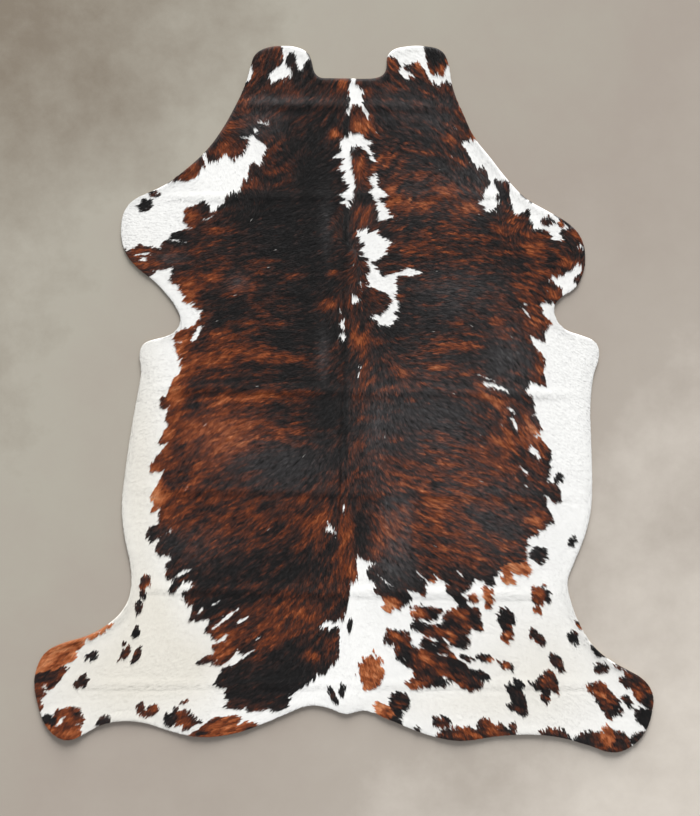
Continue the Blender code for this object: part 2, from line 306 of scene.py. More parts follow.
# Brown and black in the brindle: soft ovals where the coat leans to brown (above 0) or to black.
brindleZones = (
    # x, y, half width, half height, turn, lean
    # left side, from the neck to the tail
    (-20.3, 104, 1.6, 3.5, 0, 1.3), (-24.5, 98.5, 1.6, 3, 0, 0.4), (-18.5, 93.5, 4, 1.6, 25, 0.5),
    (-12, 99, 4, 4, 0, -1.2), (-31, 89, 3.2, 1.1, 10, 1.5), (-31.5, 85.5, 4, 1.4, 20, 0.3),
    (-0.3, 94.5, 1.8, 2.2, 0, 1.8), (-33.5, 81, 4, 2, 5, 0.9), (-26.5, 77.5, 2, 3, 30, -1.2),
    (-35, 74.2, 4.5, 3.2, 30, 1.5), (-3.2, 79.3, 1.5, 1.5, 0, 1.8), (-11, 82, 5, 3, 40, -0.3),
    (-20, 74, 5, 3, 40, 0.5), (-17, 68.5, 5.5, 1.4, 8, 0.5), (-27.5, 65, 2.2, 4, 0, 0.9),
    (-15, 76, 5, 6, 0, -0.6), (-45, 68, 4, 3, 40, 1.3), (-8, 68, 6, 14, 0, -1.3),
    (-22, 57, 13, 6, 0, -1.3), (-14, 46, 14, 7, 0, -1.3), (-8, 32, 9, 7, 0, -1.1),
    (-46, 54.5, 2.6, 3.2, 0, 1.2), (-40.5, 55, 2.5, 2, 0, 0.5), (-40, 50.5, 4, 1.3, 5, 1.5),
    (-36, 46.5, 6, 1.2, 5, 0.5), (-50.5, 48, 3.5, 2.2, 0, -1.0), (-52, 42.5, 5, 1.8, 0, 0.6),
    (-61, 42.5, 3.5, 3.5, 0, 1.2), (-34, 37.6, 15, 2.2, 5, 0.7), (-47, 26, 4, 6, 0, 2.4),
    (-46, 34, 4.5, 2.4, 10, 1.1), (-33, 32, 7, 1.0, 15, 1.0), (-22, 41.5, 4, 0.8, 0, 1.4),
    (-15.5, 36.6, 4, 1.6, 10, 1.6), (-14, 47.8, 5, 0.8, 20, 0.9), (-11, 53.3, 3, 0.8, 25, 0.9),
    (-22, 57, 5, 0.7, 10, 0.8), (-5, 28.6, 4.4, 2.2, 0, 2.4), (-3.5, 37.7, 1.8, 1.6, 0, 1.5),
    (-36, 28, 8, 2.5, 8, -0.4), (-48.8, 18.5, 2.6, 2.6, 0, 1.5), (-39, 19.6, 7, 1.8, 20, 0.8),
    (-23.5, 22.5, 7, 0.8, -3, 0.9), (-38, 23, 7, 1.4, 22, -0.8), (-38, 11.8, 12, 4.8, 14, 1.4),
    (-18, 12.4, 9, 1.9, -4, 1.5), (-11, 19, 10, 6, 0, -1.3), (-36, 5.4, 8, 0.8, 8, -1.2),
    (-13, 6.8, 8, 2.8, -4, -1.1), (-27, 0.8, 18, 1.8, 3, 1.6), (-51, 7, 3.4, 10, 0, 2.6),
    (-5, -4, 3.4, 12, 0, -1.3), (-44.5, -1.6, 2.4, 1.7, 40, -1.2), (-22, -4.8, 9, 1.5, 2, -0.2),
    (-37, -9, 12, 7.5, 14, 1.9), (-17.5, -9.6, 8.5, 2.8, -3, 1.2), (-53, -11, 3, 8, 0, 1.4),
    (-33, -14, 8, 3, 10, 0.7), (-42, -20.5, 9, 3.4, 22, 1.1), (-57, -20.8, 2.5, 1.4, 0, 1.6),
    (-15, -19.5, 11, 6, 14, -1.2), (-30, -20, 5, 3, 20, -0.4), (-51, -30.2, 8, 2.6, 5, 1.1),
    (-57, -28, 3, 6, 0, 2.8), (-53.5, -35.6, 3, 3, 0, 1.4), (-57.5, -41.5, 2.4, 2, 0, -0.8),
    (-38, -36, 14, 9, 30, 0.9), (-9.5, -38, 6.5, 5, 40, 1.5), (-9, -66, 4, 2.6, 0, 1.0),
    (-13, -31, 4, 2, 10, 0.6), (-20, -33, 5, 3, 20, 0.1), (-52, -47, 5, 5, 0, -0.7),
    (-34, -51, 13, 4.5, 10, -0.8), (-13, -51, 9, 3.6, 20, -0.8), (-46, -64, 1.8, 2.8, 0, 1.3),
    (-38, -61.5, 8, 2.8, 20, -1.2), (-16, -62, 11, 3, 18, 0.7), (-17, -71, 8, 1.6, 15, 1.2),
    (-23, -67.5, 13, 2.6, 15, 1.1), (-22, -74.5, 6, 1.4, 10, 0.9), (-37.5, -70, 2.6, 2.6, 0, 1.2),
    (-36.5, -76, 5, 3.2, 20, 1.6), (-10, -77, 2.2, 2.0, 0, 2.2), (-27, -77.5, 3.5, 1.4, 20, 1.0),
    (-20, -85.5, 18, 7, 0, -1.25), (-17, -76, 9, 2.6, 0, -0.5),
    # along the spine
    (0.8, 81, 0.8, 4, 0, -1.8), (6, 82.6, 4, 3.6, 0, 2.2), (4.6, 69, 2.6, 4.6, 0, 1.5),
    (4, 74, 2, 1.2, 0, -1.2), (5.5, 61, 2.6, 1.5, 0, -1.6), (5, 54.5, 3.8, 3.8, 0, 0.9),
    (0.8, 54, 1, 9, 0, -1.6), (2.2, 33, 1.0, 7, 0, 0.5), (0.3, 22.5, 1.2, 2.5, 0, 1.5),
    (4.8, 16.5, 2.8, 4.5, 0, 1.7), (7, 10, 1.6, 2.4, 0, 1.2), (4.8, 1, 2.4, 4.5, 0, 1.1),
    (3.8, 8.5, 0.8, 6, 0, -1.0), (0.4, -2, 1, 22, 0, -0.9), (4, -14, 2, 8, 0, 0.9),
    (1.8, -40, 1.4, 6, 0, 1.4), (-3.5, -22.5, 2.8, 2.6, 0, 0.7), (5.5, -39, 3, 8, 0, -1.1),
    (-0.3, -44, 1.4, 9, 0, 1.7), (7.8, -35.5, 2.4, 3, 0, 0.8), (2.2, -52, 2, 3.4, 0, 2.0),
    (-2, -52, 1.6, 4, 0, 0.5),
    # right side, from the neck to the tail
    (21.8, 99, 1.2, 2.6, 0, 1.2), (28.5, 98.3, 2.4, 1.6, 0, 1.3), (27.8, 102.8, 3, 2.2, 0, -1.2),
    (14.5, 99, 2, 3, 0, 0.3), (22, 92, 10, 4, -10, 0.1), (7.5, 91, 1.4, 1.4, 0, 1.6),
    (20, 84, 12, 6, 0, -0.75), (31.8, 77.3, 1.8, 2.8, 0, 1.8), (39, 78, 1.2, 2.2, 25, 1.7),
    (12, 71.3, 2.4, 2.6, 0, 1.8), (24.5, 73.4, 3, 1.2, 0, 1.4), (18, 76.5, 8, 2, 0, -0.3),
    (28.5, 70, 2.4, 2.4, 0, -1.0), (20, 63.5, 2.2, 1.8, 0, -0.9), (22, 68, 3, 2, 0, 0.6),
    (39.5, 66, 3.6, 3.6, 0, -1.3), (36.5, 71, 2, 3, 30, 0.9), (16.5, 59.5, 3.4, 3.6, 0, 2.0),
    (24, 58, 4, 2.2, 0, 2.1), (31, 61.5, 3.6, 2.2, 0, 2.1), (37, 57.5, 4, 2.8, 0, 2.0),
    (35, 65, 2, 3, 0, -0.6), (28, 54.5, 3, 1.6, 0, -0.9), (20, 53, 3, 2, 0, -0.8),
    (41, 52, 3, 2.6, 0, -0.8), (27, 49.5, 8, 2, 0, 0.6), (54, 29, 4, 3, 0, 0.7),
    (47.5, 61.5, 3, 3.6, 0, -1.4), (48.5, 53.4, 6, 2.8, -5, 0.6), (26, 43.5, 6, 2.6, 0, 1.0),
    (33, 35.5, 10, 2.4, 0, -0.6), (44, 41.6, 9, 2.2, -3, 0.2), (58, 44, 6, 2.6, -10, 0.8),
    (67, 42, 3.6, 4, 0, 0.9), (63.5, 42.6, 2, 1.4, 0, -1.4), (70, 48, 1.6, 1.8, 0, 1.2),
    (55.5, 36, 4.5, 3, 0, 1.0), (63, 31, 3, 2, 0, 1.4), (24, 26, 9, 5, 0, -0.7),
    (44, 32, 9, 3, 0, -0.1), (31, 16.2, 6.5, 1.8, 2, 1.5), (43, 15.8, 5, 1.4, 0, 0.8),
    (28, 9.2, 10, 1.1, 8, 1.5), (16, 19, 6, 7, 0, -0.8), (38, 11.5, 9, 1.8, 0, -0.5),
    (47.5, 22.5, 5, 2.6, 0, 0.9), (57, 22.5, 4.4, 3.6, 0, 1.7), (58.6, 9, 2, 5, 0, 1.5),
    (48.5, 10.5, 6, 5.5, 0, -1.2), (43.5, 0.8, 4.4, 2.2, -25, 2.2), (51, 1.2, 3.5, 1.6, 0, -0.6),
    (24, -6, 15, 7, 0, -1.1), (31, -12, 8, 1.6, -8, 1.2), (55.6, -9, 2.6, 4, 20, 2.2),
    (48.5, -13, 3.8, 6, 25, 1.8), (58, -18.5, 3, 4.5, 0, 0.5), (15, -22.5, 5.5, 3.6, -20, 1.6),
    (28, -21, 8, 3.4, -10, 0.8), (41, -24.5, 7, 2.2, 14, 1.4), (50, -22, 6, 5, 0, 0.5),
    (36, -17, 10, 3.4, -8, 0.9), (47, -3, 3, 3, 0, 1.0), (43, -14, 4, 2.4, 0, 0.8),
    (58, -12, 2.4, 3, 0, 1.4), (22, -25, 6, 2, -14, 0.3), (34, -31, 14, 2, 0, 1.3),
    (14, -30.5, 6, 2, 0, -0.6), (27, -36.5, 5.5, 7.5, 0, 1.35), (15.5, -38.5, 4.6, 6, 0, 1.6),
    (42, -36, 5, 2.4, -20, -0.6), (40.5, -42, 7, 4, -20, 0.7), (58, -37, 3.4, 3, 0, 2.2),
    (51, -34.5, 4, 3, 0, 0.4), (50, -43.5, 6, 2.4, -10, 0.8), (37, -48, 9, 3, -10, 1.0),
    (15.5, -53, 6, 4.5, 0, -1.2), (11, -43, 3, 4, 0, 1.2), (27, -52, 3.5, 3, 0, 0.2),
    (40, -53.5, 5, 2, 0, -0.8), (26.6, -54.9, 1.8, 0.8, 0, 2.4), (14, -62, 3.4, 2.4, 0, 3.4),
    (18.6, -60.2, 1.8, 2, 0, -1.2),
)

# Brown and black in the patches outside the saddle, on top of the tone of each.
patchZones = (
    # x, y, half width, half height, turn, lean
    (22.5, -64.2, 2.6, 2.0, 0, 2.0), (27.5, -64.5, 2.2, 2.2, 0, -2.0), (23, -68, 3, 2, 0, -2.0),
    (35.3, -65, 2.4, 1.6, -25, 1.6), (33, -67.5, 3, 1.8, 0, -1.2), (39.2, -66.5, 1.8, 3, 0, -1.6),
    (28.5, -70, 2.2, 1.4, 0, 1.4), (32, -72, 1.4, 2.6, 0, 1.4), (35.8, -72.5, 1.8, 2.4, 0, -1.8),
    (33, -58.5, 1.6, 2.4, 0, -1.0), (35.5, -61.5, 2, 2, 0, -1.8), (18, -77.5, 2.2, 3.8, 0, -2.4),
    (27.5, -74, 4, 2, 0, -2.0), (24.3, -77, 2, 2, 0, 1.4), (27, -80, 5, 3, 0, 0.2),
    (34.5, -80.5, 3, 2.2, 0, -1.4), (21.5, -85.6, 3.2, 1.4, 0, 1.4), (29.5, -85, 2.2, 1.4, 0, -2.2),
    (38.5, -86.3, 3, 1.4, 0, -1.2), (40.8, -83, 1.6, 0.8, 30, 1.6), (44.2, -78.4, 1.2, 0.7, 0, 2.6),
    (48.5, -80.3, 1.6, 0.9, 0, 1.6), (50, -67.5, 1.4, 2, 0, 1.2), (48.8, -71.2, 1.4, 1.4, 0, 1.0),
    (61.5, -58.5, 1.2, 3, 0, -1.6), (58.5, -60, 1.8, 2, 0, 1.2), (60.5, -88.5, 1.6, 2.6, 0, -1.4),
    (61, -84.5, 1.8, 2, 0, 0.8), (17, -92, 1.8, 1.2, 0, 1.6), (14.5, -71.5, 2.2, 1, 0, 1.2),
    (-86.5, -80, 5, 1.4, 30, -1.4), (-82, -73.8, 3, 0.6, 10, -0.8), (-90, -77.5, 2.4, 0.6, 50, -0.8),
    (-84, -77, 3.6, 0.5, 30, -0.6), (-84, -82.2, 2, 1.2, 30, 0.9), (-83, -98, 4, 3, 0, -0.6),
    (-80.5, -94.5, 1.4, 1.2, 0, -2.4), (-49.5, -95.5, 1.6, 1.8, 0, 0.8),
    (-45, -96.3, 1.8, 1.2, 0, -0.8), (-28.5, -99, 2, 1.4, 0, -1.8), (-44, -100, 3, 1, 0, -1.6),
    (86, -83.5, 3, 2, 0, -0.5), (89, -87, 2.4, 2, 0, 0.7), (88, -89.8, 2, 1.4, 0, 1.8),
    (90.5, -91, 1.4, 2.4, 0, -1.6), (35, -100.8, 4.5, 0.9, 0, 1.2), (31.5, -99.8, 3, 0.7, 0, -1.6),
    (44, -98.2, 1.8, 1.6, 0, 1.0), (49.5, -99, 1.6, 1.2, 0, -2.0), (74, -102, 4.5, 1.4, 0, -0.4),
    (61, -54, 1.2, 1, 0, 0.6), (-59.5, -55.5, 1.2, 1.6, 0, 0.6),
)

# Share of brown in a patch that has one tone of its own.
tones = {"black": 0.05, "dark": 0.31, "mixed": 0.48, "brown": 0.82, "tan": 1.0, "light": 1.2,
         "sand": 1.25}

# The patches of the coat, painted one over another on white. A row gives the tone and the corners
# of the patch; "brindle" takes its lean from the zones above.
patches = (
    # name, tone, corners as x, y
    ("saddle", "brindle", (
        (-36, 112), (-57, 74), (-52, 64), (-50.5, 65.3), (-48.3, 64.8), (-44, 66.3), (-42.6, 69.5),
        (-37.3, 70.9), (-35.8, 73), (-32.5, 70.9), (-28.5, 75.5), (-28, 77.3), (-30.3, 78), (-28, 79),
        (-23.5, 76), (-23, 74.3), (-25, 69.3), (-26.8, 70.6), (-28, 69.5), (-28.9, 67), (-28.3, 66.3),
        (-30.5, 65), (-30.8, 62), (-35, 61), (-36, 58), (-38, 57.5), (-39, 55.5), (-40.3, 55.5), (-41, 58),
        (-43, 58.8), (-45, 57.5), (-47.8, 57.3), (-47.8, 53), (-46.5, 51), (-52, 49.8), (-52.5, 48),
        (-55, 47), (-55.3, 44.8), (-61.5, 46.3), (-64.5, 44.5), (-70, 47), (-70, 36), (-60, 34),
        (-57.5, 38.5), (-55, 38.3), (-52, 39.6), (-52.5, 35.5), (-48.8, 32), (-48, 30.5), (-48.8, 29.3),
        (-43, 26.5), (-45, 21.8), (-50.8, 20), (-50.8, 15.5), (-48.8, 8.5), (-52, 5), (-53.5, 0.3),
        (-55.3, 0.3), (-54.9, -3.5), (-53, -3), (-52.1, -1.3), (-54.3, -7.3), (-53, -7.5), (-55.4, -12.3),
        (-55.3, -13.8), (-53.5, -13.8), (-58.8, -20.8), (-57.8, -22.5), (-54, -21.8), (-58.6, -30),
        (-57.3, -30.5), (-57.8, -34), (-55.3, -33), (-56, -36.5), (-55.3, -37.8), (-59.3, -39.5),
        (-59.5, -41), (-58.5, -43), (-57.3, -43.3), (-55.5, -42), (-57, -46), (-56, -47.5), (-52.5, -47.1),
        (-51.8, -48.8), (-53.8, -49.8), (-53.5, -53.8), (-51.5, -55.5), (-53.5, -58.5), (-51, -58.8),
        (-49, -55.5), (-46, -55.5), (-45, -56.5), (-48.8, -58.5), (-47.5, -61.8), (-45.5, -61.8),
        (-46.6, -66.8), (-40, -66.1), (-42.3, -70.5), (-40, -69.8), (-40.5, -70.9), (-39.3, -72.3),
        (-37.7, -72.3), (-35.2, -70.2), (-35.9, -72.7), (-39.5, -73.6), (-40, -74.8), (-38.6, -76.8),
        (-42, -77.3), (-44.5, -79.5), (-43, -80), (-38, -78.4), (-40, -80.2), (-37.7, -80.5),
        (-34.3, -78.4), (-33, -75.5), (-30.5, -76.8), (-26.4, -75), (-33.2, -80), (-36.8, -81),
        (-39.3, -85.9), (-35, -87.3), (-36.4, -88.6), (-34.8, -90.9), (-36.6, -92.4), (-31.4, -93.6),
        (-30.2, -92.5), (-29.3, -93.9), (-22.3, -93), (-21.6, -94.1), (-17.5, -92.7), (-16.4, -90.2),
        (-17.3, -89.8), (-8.2, -83.9), (-8.6, -82.3), (-7, -83.4), (-1.5, -78.2), (-1.6, -69.6),
        (0.7, -64.2), (2, -56.2), (4.1, -54.6), (3.6, -47.8), (9.8, -49.3), (6.8, -51.7), (7.7, -54.2),
        (9.3, -55.1), (9.3, -58.3), (11.4, -59.3), (12.7, -61.5), (11.6, -62.4), (12.3, -64), (14.1, -64.4),
        (15, -63), (17, -63.7), (16.8, -62.4), (18.4, -62.4), (20.7, -60.3), (19.1, -57.4), (24.1, -59),
        (25, -58), (24.8, -55.1), (28.4, -55.1), (27.3, -52.8), (35, -58), (38.6, -56.7), (39.3, -54),
        (41.8, -54.4), (42.7, -55.8), (44.8, -56.5), (46, -56), (45, -53.3), (50, -49.5), (54.3, -49.3),
        (55.8, -47.5), (54.5, -45), (55.8, -43.8), (55, -42.4), (59, -40.8), (58.5, -39.3), (63.4, -37.3),
        (60.3, -28.8), (63.5, -31.5), (65.3, -30.5), (65, -27.5), (63.5, -25.5), (61.3, -25.3), (62.4, -16),
        (59.5, -11.8), (57.3, -11.8), (59.8, -9.5), (58.3, -6), (56.5, -5.5), (57.5, -4.8), (57, 0.5),
        (55.3, 1), (54, 2.8), (55.6, 2.8), (56, 5), (60.8, 3.6), (60, 12.8), (56.5, 16.3), (56.2, 18.3),
        (60.3, 16.8), (60.3, 20.3), (62, 21), (62.3, 23), (60, 24.5), (60, 26.5), (59, 27.5), (59.8, 28.5),
        (64.2, 28.8), (78, 27), (78, 54), (66.8, 51), (65.5, 49.5), (66.3, 47.5), (63, 47.5), (62, 50),
        (56, 50.8), (56.5, 52), (55.3, 54), (55.3, 57.3), (52, 54.6), (51, 55.3), (50, 57.3), (49.5, 65),
        (44.8, 65), (46.5, 61), (45.3, 59.3), (47, 58.3), (45, 56.8), (46, 56), (42, 55.8), (43, 57.3),
        (40.3, 58.5), (42, 60), (41.5, 60.8), (43.8, 65), (42, 69.5), (40.3, 68.5), (35, 76.5), (37, 77.5),
        (44, 76), (36, 112),
    )),
    ("left ear", "white", (
        (-19.5, 108), (-9, 108), (-9.5, 102), (-12, 99.8), (-11.8, 98.8), (-13.5, 97.8), (-14.8, 100),
        (-14.8, 102.5), (-16, 102.8), (-17.3, 101.8), (-17.5, 100.5), (-15.3, 97.3), (-15.8, 95.8),
        (-17, 96.3), (-23.5, 93.3), (-24, 91.8), (-24.3, 93), (-22.3, 94.8), (-23, 97.3), (-18.8, 100.5),
    )),
    ("tail tuft", "white", (
        (-8, -69.5), (-6.3, -67.4), (-5, -66.5), (-3.4, -67.2), (-1, -66.2), (1, -68), (-1.2, -69.6),
        (-3, -68.9), (-4.2, -70), (-5.3, -69),
    )),
    ("left hock", "sand", (
        (-78, -69), (-78.6, -74), (-79.5, -75.3), (-81.5, -75.3), (-80.2, -77.5), (-89, -82.5),
        (-93, -83.3), (-97, -83), (-97, -72),
    )),
    ("below the left hock", "mixed", (
        (-93.5, -83), (-84, -80.8), (-83.3, -81.5), (-87, -86.3), (-88.5, -87.3), (-89.4, -86),
        (-90.5, -85.7), (-91.8, -87.3), (-97, -87),
    )),
    ("left heel rim", "mixed", (
        (-92, -87), (-90, -87.5), (-89.8, -88.7), (-91, -90), (-91.3, -92), (-90.8, -92.8), (-91.3, -94),
        (-96, -94), (-97, -87),
    )),
    ("left leg end", "brown", (
        (-86.8, -94.4), (-86, -93.3), (-83.2, -92.8), (-79.3, -93.3), (-79, -95.1), (-77.8, -95.8),
        (-78.6, -97.4), (-81.4, -97.9), (-79.1, -98.6), (-79, -104), (-86, -104), (-93, -98),
        (-90.5, -95.8), (-87, -96),
    )),
    ("left rump rim brown", "mixed", (
        (-51.4, -93.9), (-50.7, -92.3), (-49.8, -92.9), (-50, -93.9), (-47.6, -93.8), (-42.5, -96.9),
        (-47.8, -99.2), (-49, -97.7), (-50.3, -98.6), (-51.3, -97),
    )),
    ("left rump rim light", "brown", (
        (-41.4, -97.7), (-40.3, -96), (-39, -95.6), (-32, -95.2), (-31.4, -96.3), (-32.4, -98.7),
        (-29.7, -96.8), (-26.4, -98), (-27, -102), (-44, -103), (-47, -100.8),
    )),
    ("neck wedge", "white", (
        (2.3, 98), (4, 94), (6.5, 91.8), (5.8, 90.5), (6.3, 88), (8, 85), (7, 83.8), (4.8, 87.3), (2.3, 87),
        (1.5, 84), (0, 85.5), (1.3, 87.3), (0.8, 88), (1.5, 89), (1.1, 91.8),
    )),
    ("arch", "white", (
        (-2, 77), (1.3, 78.5), (1.5, 79.5), (6, 79.5), (6.5, 78), (10, 76.5), (8, 75.5), (9.3, 74.3),
        (8.8, 72.5), (11, 70.9), (8.3, 70.9), (6.5, 74.8), (2.3, 75.1), (2.3, 70), (3.3, 65), (2.8, 60),
        (1.5, 59.5), (1.8, 57), (-2.3, 58.3), (0, 59.8), (-2.8, 61), (-0.3, 62), (0.8, 63.5), (-1, 66),
        (-0.5, 68), (-2.3, 69.5), (-0.5, 70.5), (-1.3, 72), (-4, 72.3), (-1.5, 74),
    )),
    ("arch's right leg", "white", (
        (7.3, 65.8), (9.5, 68), (11.3, 67.8), (9.5, 67), (11.5, 65.5), (10.8, 64), (13.5, 61), (12, 60),
        (12.5, 58), (14, 56.5), (15, 54), (11, 53.4), (10.1, 55), (10.5, 56.5), (10, 59), (7.5, 62.3),
        (8.3, 64),
    )),
    ("big white patch", "white", (
        (3.5, 50.8), (7, 51.8), (8.3, 50), (10.5, 51.5), (10.8, 49.8), (14.5, 47.3), (13.5, 45),
        (13.8, 43.5), (9.3, 41.3), (9.5, 40), (10.8, 39.5), (12, 36.8), (20, 39.4), (25, 37.8), (22, 37.3),
        (19.8, 36), (18, 37), (16.5, 36), (16, 34.5), (16.8, 28.5), (16, 25.5), (17.3, 24), (14, 21.3),
        (10.3, 21.3), (10.5, 23), (8.3, 24), (13.5, 26.8), (14.5, 29.3), (13.5, 31), (12, 32), (7, 33.5),
        (7.5, 35), (6.8, 36.5), (8.3, 39), (7.3, 40), (7.8, 42.5), (5.3, 42.3), (6.3, 43.5), (5, 44.8),
        (5.8, 46.3),
    )),
    ("spine tuft", "white", (
        (-1.8, 21), (-1, 23), (1.3, 23.8), (0.3, 22), (0.8, 17.3), (-0.5, 17), (-1.8, 18), (-2, 18.8),
        (-0.5, 19.5), (-0.3, 20.8),
    )),
    ("loin tuft", "white", (
        (-6.3, -39.8), (-5.3, -38.5), (-5.2, -36.6), (-4.6, -38.2), (-3.3, -38.5), (-2.2, -40.5),
        (-2.5, -41.5), (-4, -40.5), (-5, -40.8),
    )),
    ("right ear", "white", (
        (12, 103.2), (12, 108), (23.5, 108), (26.3, 97.3), (30, 96.8), (31.3, 100.6), (34, 100.5),
        (34, 94.3), (28, 94), (25.5, 94.9), (24.3, 98.5), (21.8, 101), (18.8, 99.3), (18.8, 98.3), (20, 98),
        (21.3, 96.3), (18.3, 95.5), (16.8, 97.3), (17, 99.5), (15.5, 101.8),
    )),
    ("right shoulder rim", "white", (
        (35, 76.5), (37, 77.5), (44, 75.5), (52, 68), (53.5, 61.5), (50.2, 60), (49.5, 65), (43.8, 65),
        (42, 69.5), (40.3, 68.5), (39.5, 70.5),
    )),
    ("right foreleg", "white", (
        (61, 35), (62.5, 37), (63.8, 36.5), (66, 36.8), (70, 40.3), (71, 40), (71.3, 37.5), (69, 35.8),
        (69, 34.5), (71, 33.7), (71, 30), (65.4, 29), (65.4, 32.8), (63.8, 33.3), (63, 34.8),
    )),
    ("right hip light", "light", (
        (47.5, -51), (49.5, -49.5), (55, -49.3), (56.3, -50.5), (56.3, -52.8), (54.5, -53), (50.3, -52),
        (50.5, -53.8), (51.8, -54.8), (51.3, -56), (49.5, -55), (48.8, -55.8), (47.8, -53.8), (48.5, -52.8),
    )),
    ("right hip chain", "mixed", (
        (31.4, -65.1), (31.8, -63.7), (33.6, -63.4), (34.8, -62), (33, -59.6), (31.4, -58.7), (30.9, -55.8),
        (33.4, -56.2), (37, -61), (37.7, -63), (40.2, -63), (41.8, -68.7), (40.9, -69.9), (38.6, -69),
        (36.8, -71.5), (38, -73), (37.7, -74.2), (35.9, -74.9), (31.8, -74), (31.4, -72.4), (30, -71.5),
        (29.1, -72.4), (25.5, -71.5), (21.8, -69.4), (20.5, -69.6), (20.9, -67.1), (22.3, -66.5),
        (24.5, -67.8), (27.3, -68.3), (29.5, -67.8), (30, -66.3),
    )),
    ("right rump", "mixed", (
        (15.7, -75.5), (16.2, -73.9), (21, -74.5), (21.6, -75.5), (25.7, -75), (23.5, -74.3), (23.7, -72.7),
        (25, -72), (27.1, -73.2), (29.8, -72.3), (34.4, -78.6), (36.2, -79.3), (37.3, -80.7), (37.5, -82.5),
        (41.9, -85.7), (41.2, -87.3), (38, -87.7), (35.7, -86.8), (33.9, -85.2), (31.6, -85), (31.4, -85.9),
        (29.8, -86.6), (27.1, -86.1), (26.9, -85.5), (25.3, -86.6), (20.7, -87.3), (18.5, -85.7),
        (21.6, -83.9), (21.2, -81.4), (18.5, -80.2), (16.2, -78.2),
    )),
    ("right leg star", "dark", (
        (55.7, -85.3), (58.5, -84.8), (60.3, -82.2), (62.1, -81.6), (63.9, -84.3), (64.5, -88.9),
        (62.5, -87.8), (61.6, -91), (60.8, -91.7), (59.3, -90), (59.6, -87.7), (57.5, -87.3),
    )),
    ("right leg long spot", "black", (
        (48.5, -85.9), (51, -85.7), (50.7, -84.5), (52.3, -84.1), (54.1, -85.7), (53.2, -87.5),
        (54.6, -90.5), (55, -94.1), (53.5, -95.2), (48.9, -92.3), (50.6, -90.8),
    )),
    ("right hock", "mixed", (
        (84.2, -81.2), (85.5, -82), (83.8, -82.6), (84.5, -83.6), (82.4, -84.4), (84.9, -86.8),
        (86.7, -87.3), (87, -89.1), (88.8, -91), (91.7, -93.2), (97, -93), (96, -85), (90, -79.5),
    )),
    ("right toe rim", "black", (
        (87.6, -93.6), (88.8, -92.5), (90.6, -93.6), (96, -94), (94, -99), (90.4, -99), (89, -97.7),
        (87.9, -96.4),
    )),
    ("right sole", "dark", (
        (69, -102.3), (70.6, -100.9), (73.1, -100.2), (77.6, -100.2), (78.5, -99.3), (80.4, -99.5),
        (84, -100.7), (86.7, -103), (86, -108), (70, -106),
    )),
    ("right rear rim two", "mixed", (
        (27.5, -101.4), (30.3, -99.3), (32.5, -99.5), (35.3, -98.6), (39.8, -99.5), (40.5, -97.3),
        (42.1, -95.9), (43.9, -96.6), (44.4, -98), (46.2, -99.3), (46.6, -97.3), (48.2, -98.2),
        (48.9, -100), (50.5, -97.3), (51.4, -97.3), (52, -104), (27, -105),
    )),
    ("tail side black", "black", (
        (14.4, -89.1), (16.9, -88.2), (18.9, -88.6), (20, -90.9), (19.8, -93.2), (17.8, -93.9), (17, -100),
        (13, -98),
    )),
    ("tail side light", "tan", (
        (9.4, -92), (10.7, -91.1), (13.4, -92.1), (14.6, -94.5), (14.2, -96.1), (12, -98), (10.5, -95.3),
    )),
    ("scar", "skin", (
        (3.3, 49.4), (4.2, 48.3), (4.5, 46.5), (4.6, 43.5), (4.8, 40.5), (5.2, 40.5), (5.1, 43.5),
        (4.9, 46.6), (4.5, 48.6), (3.7, 49.6),
    )),
)

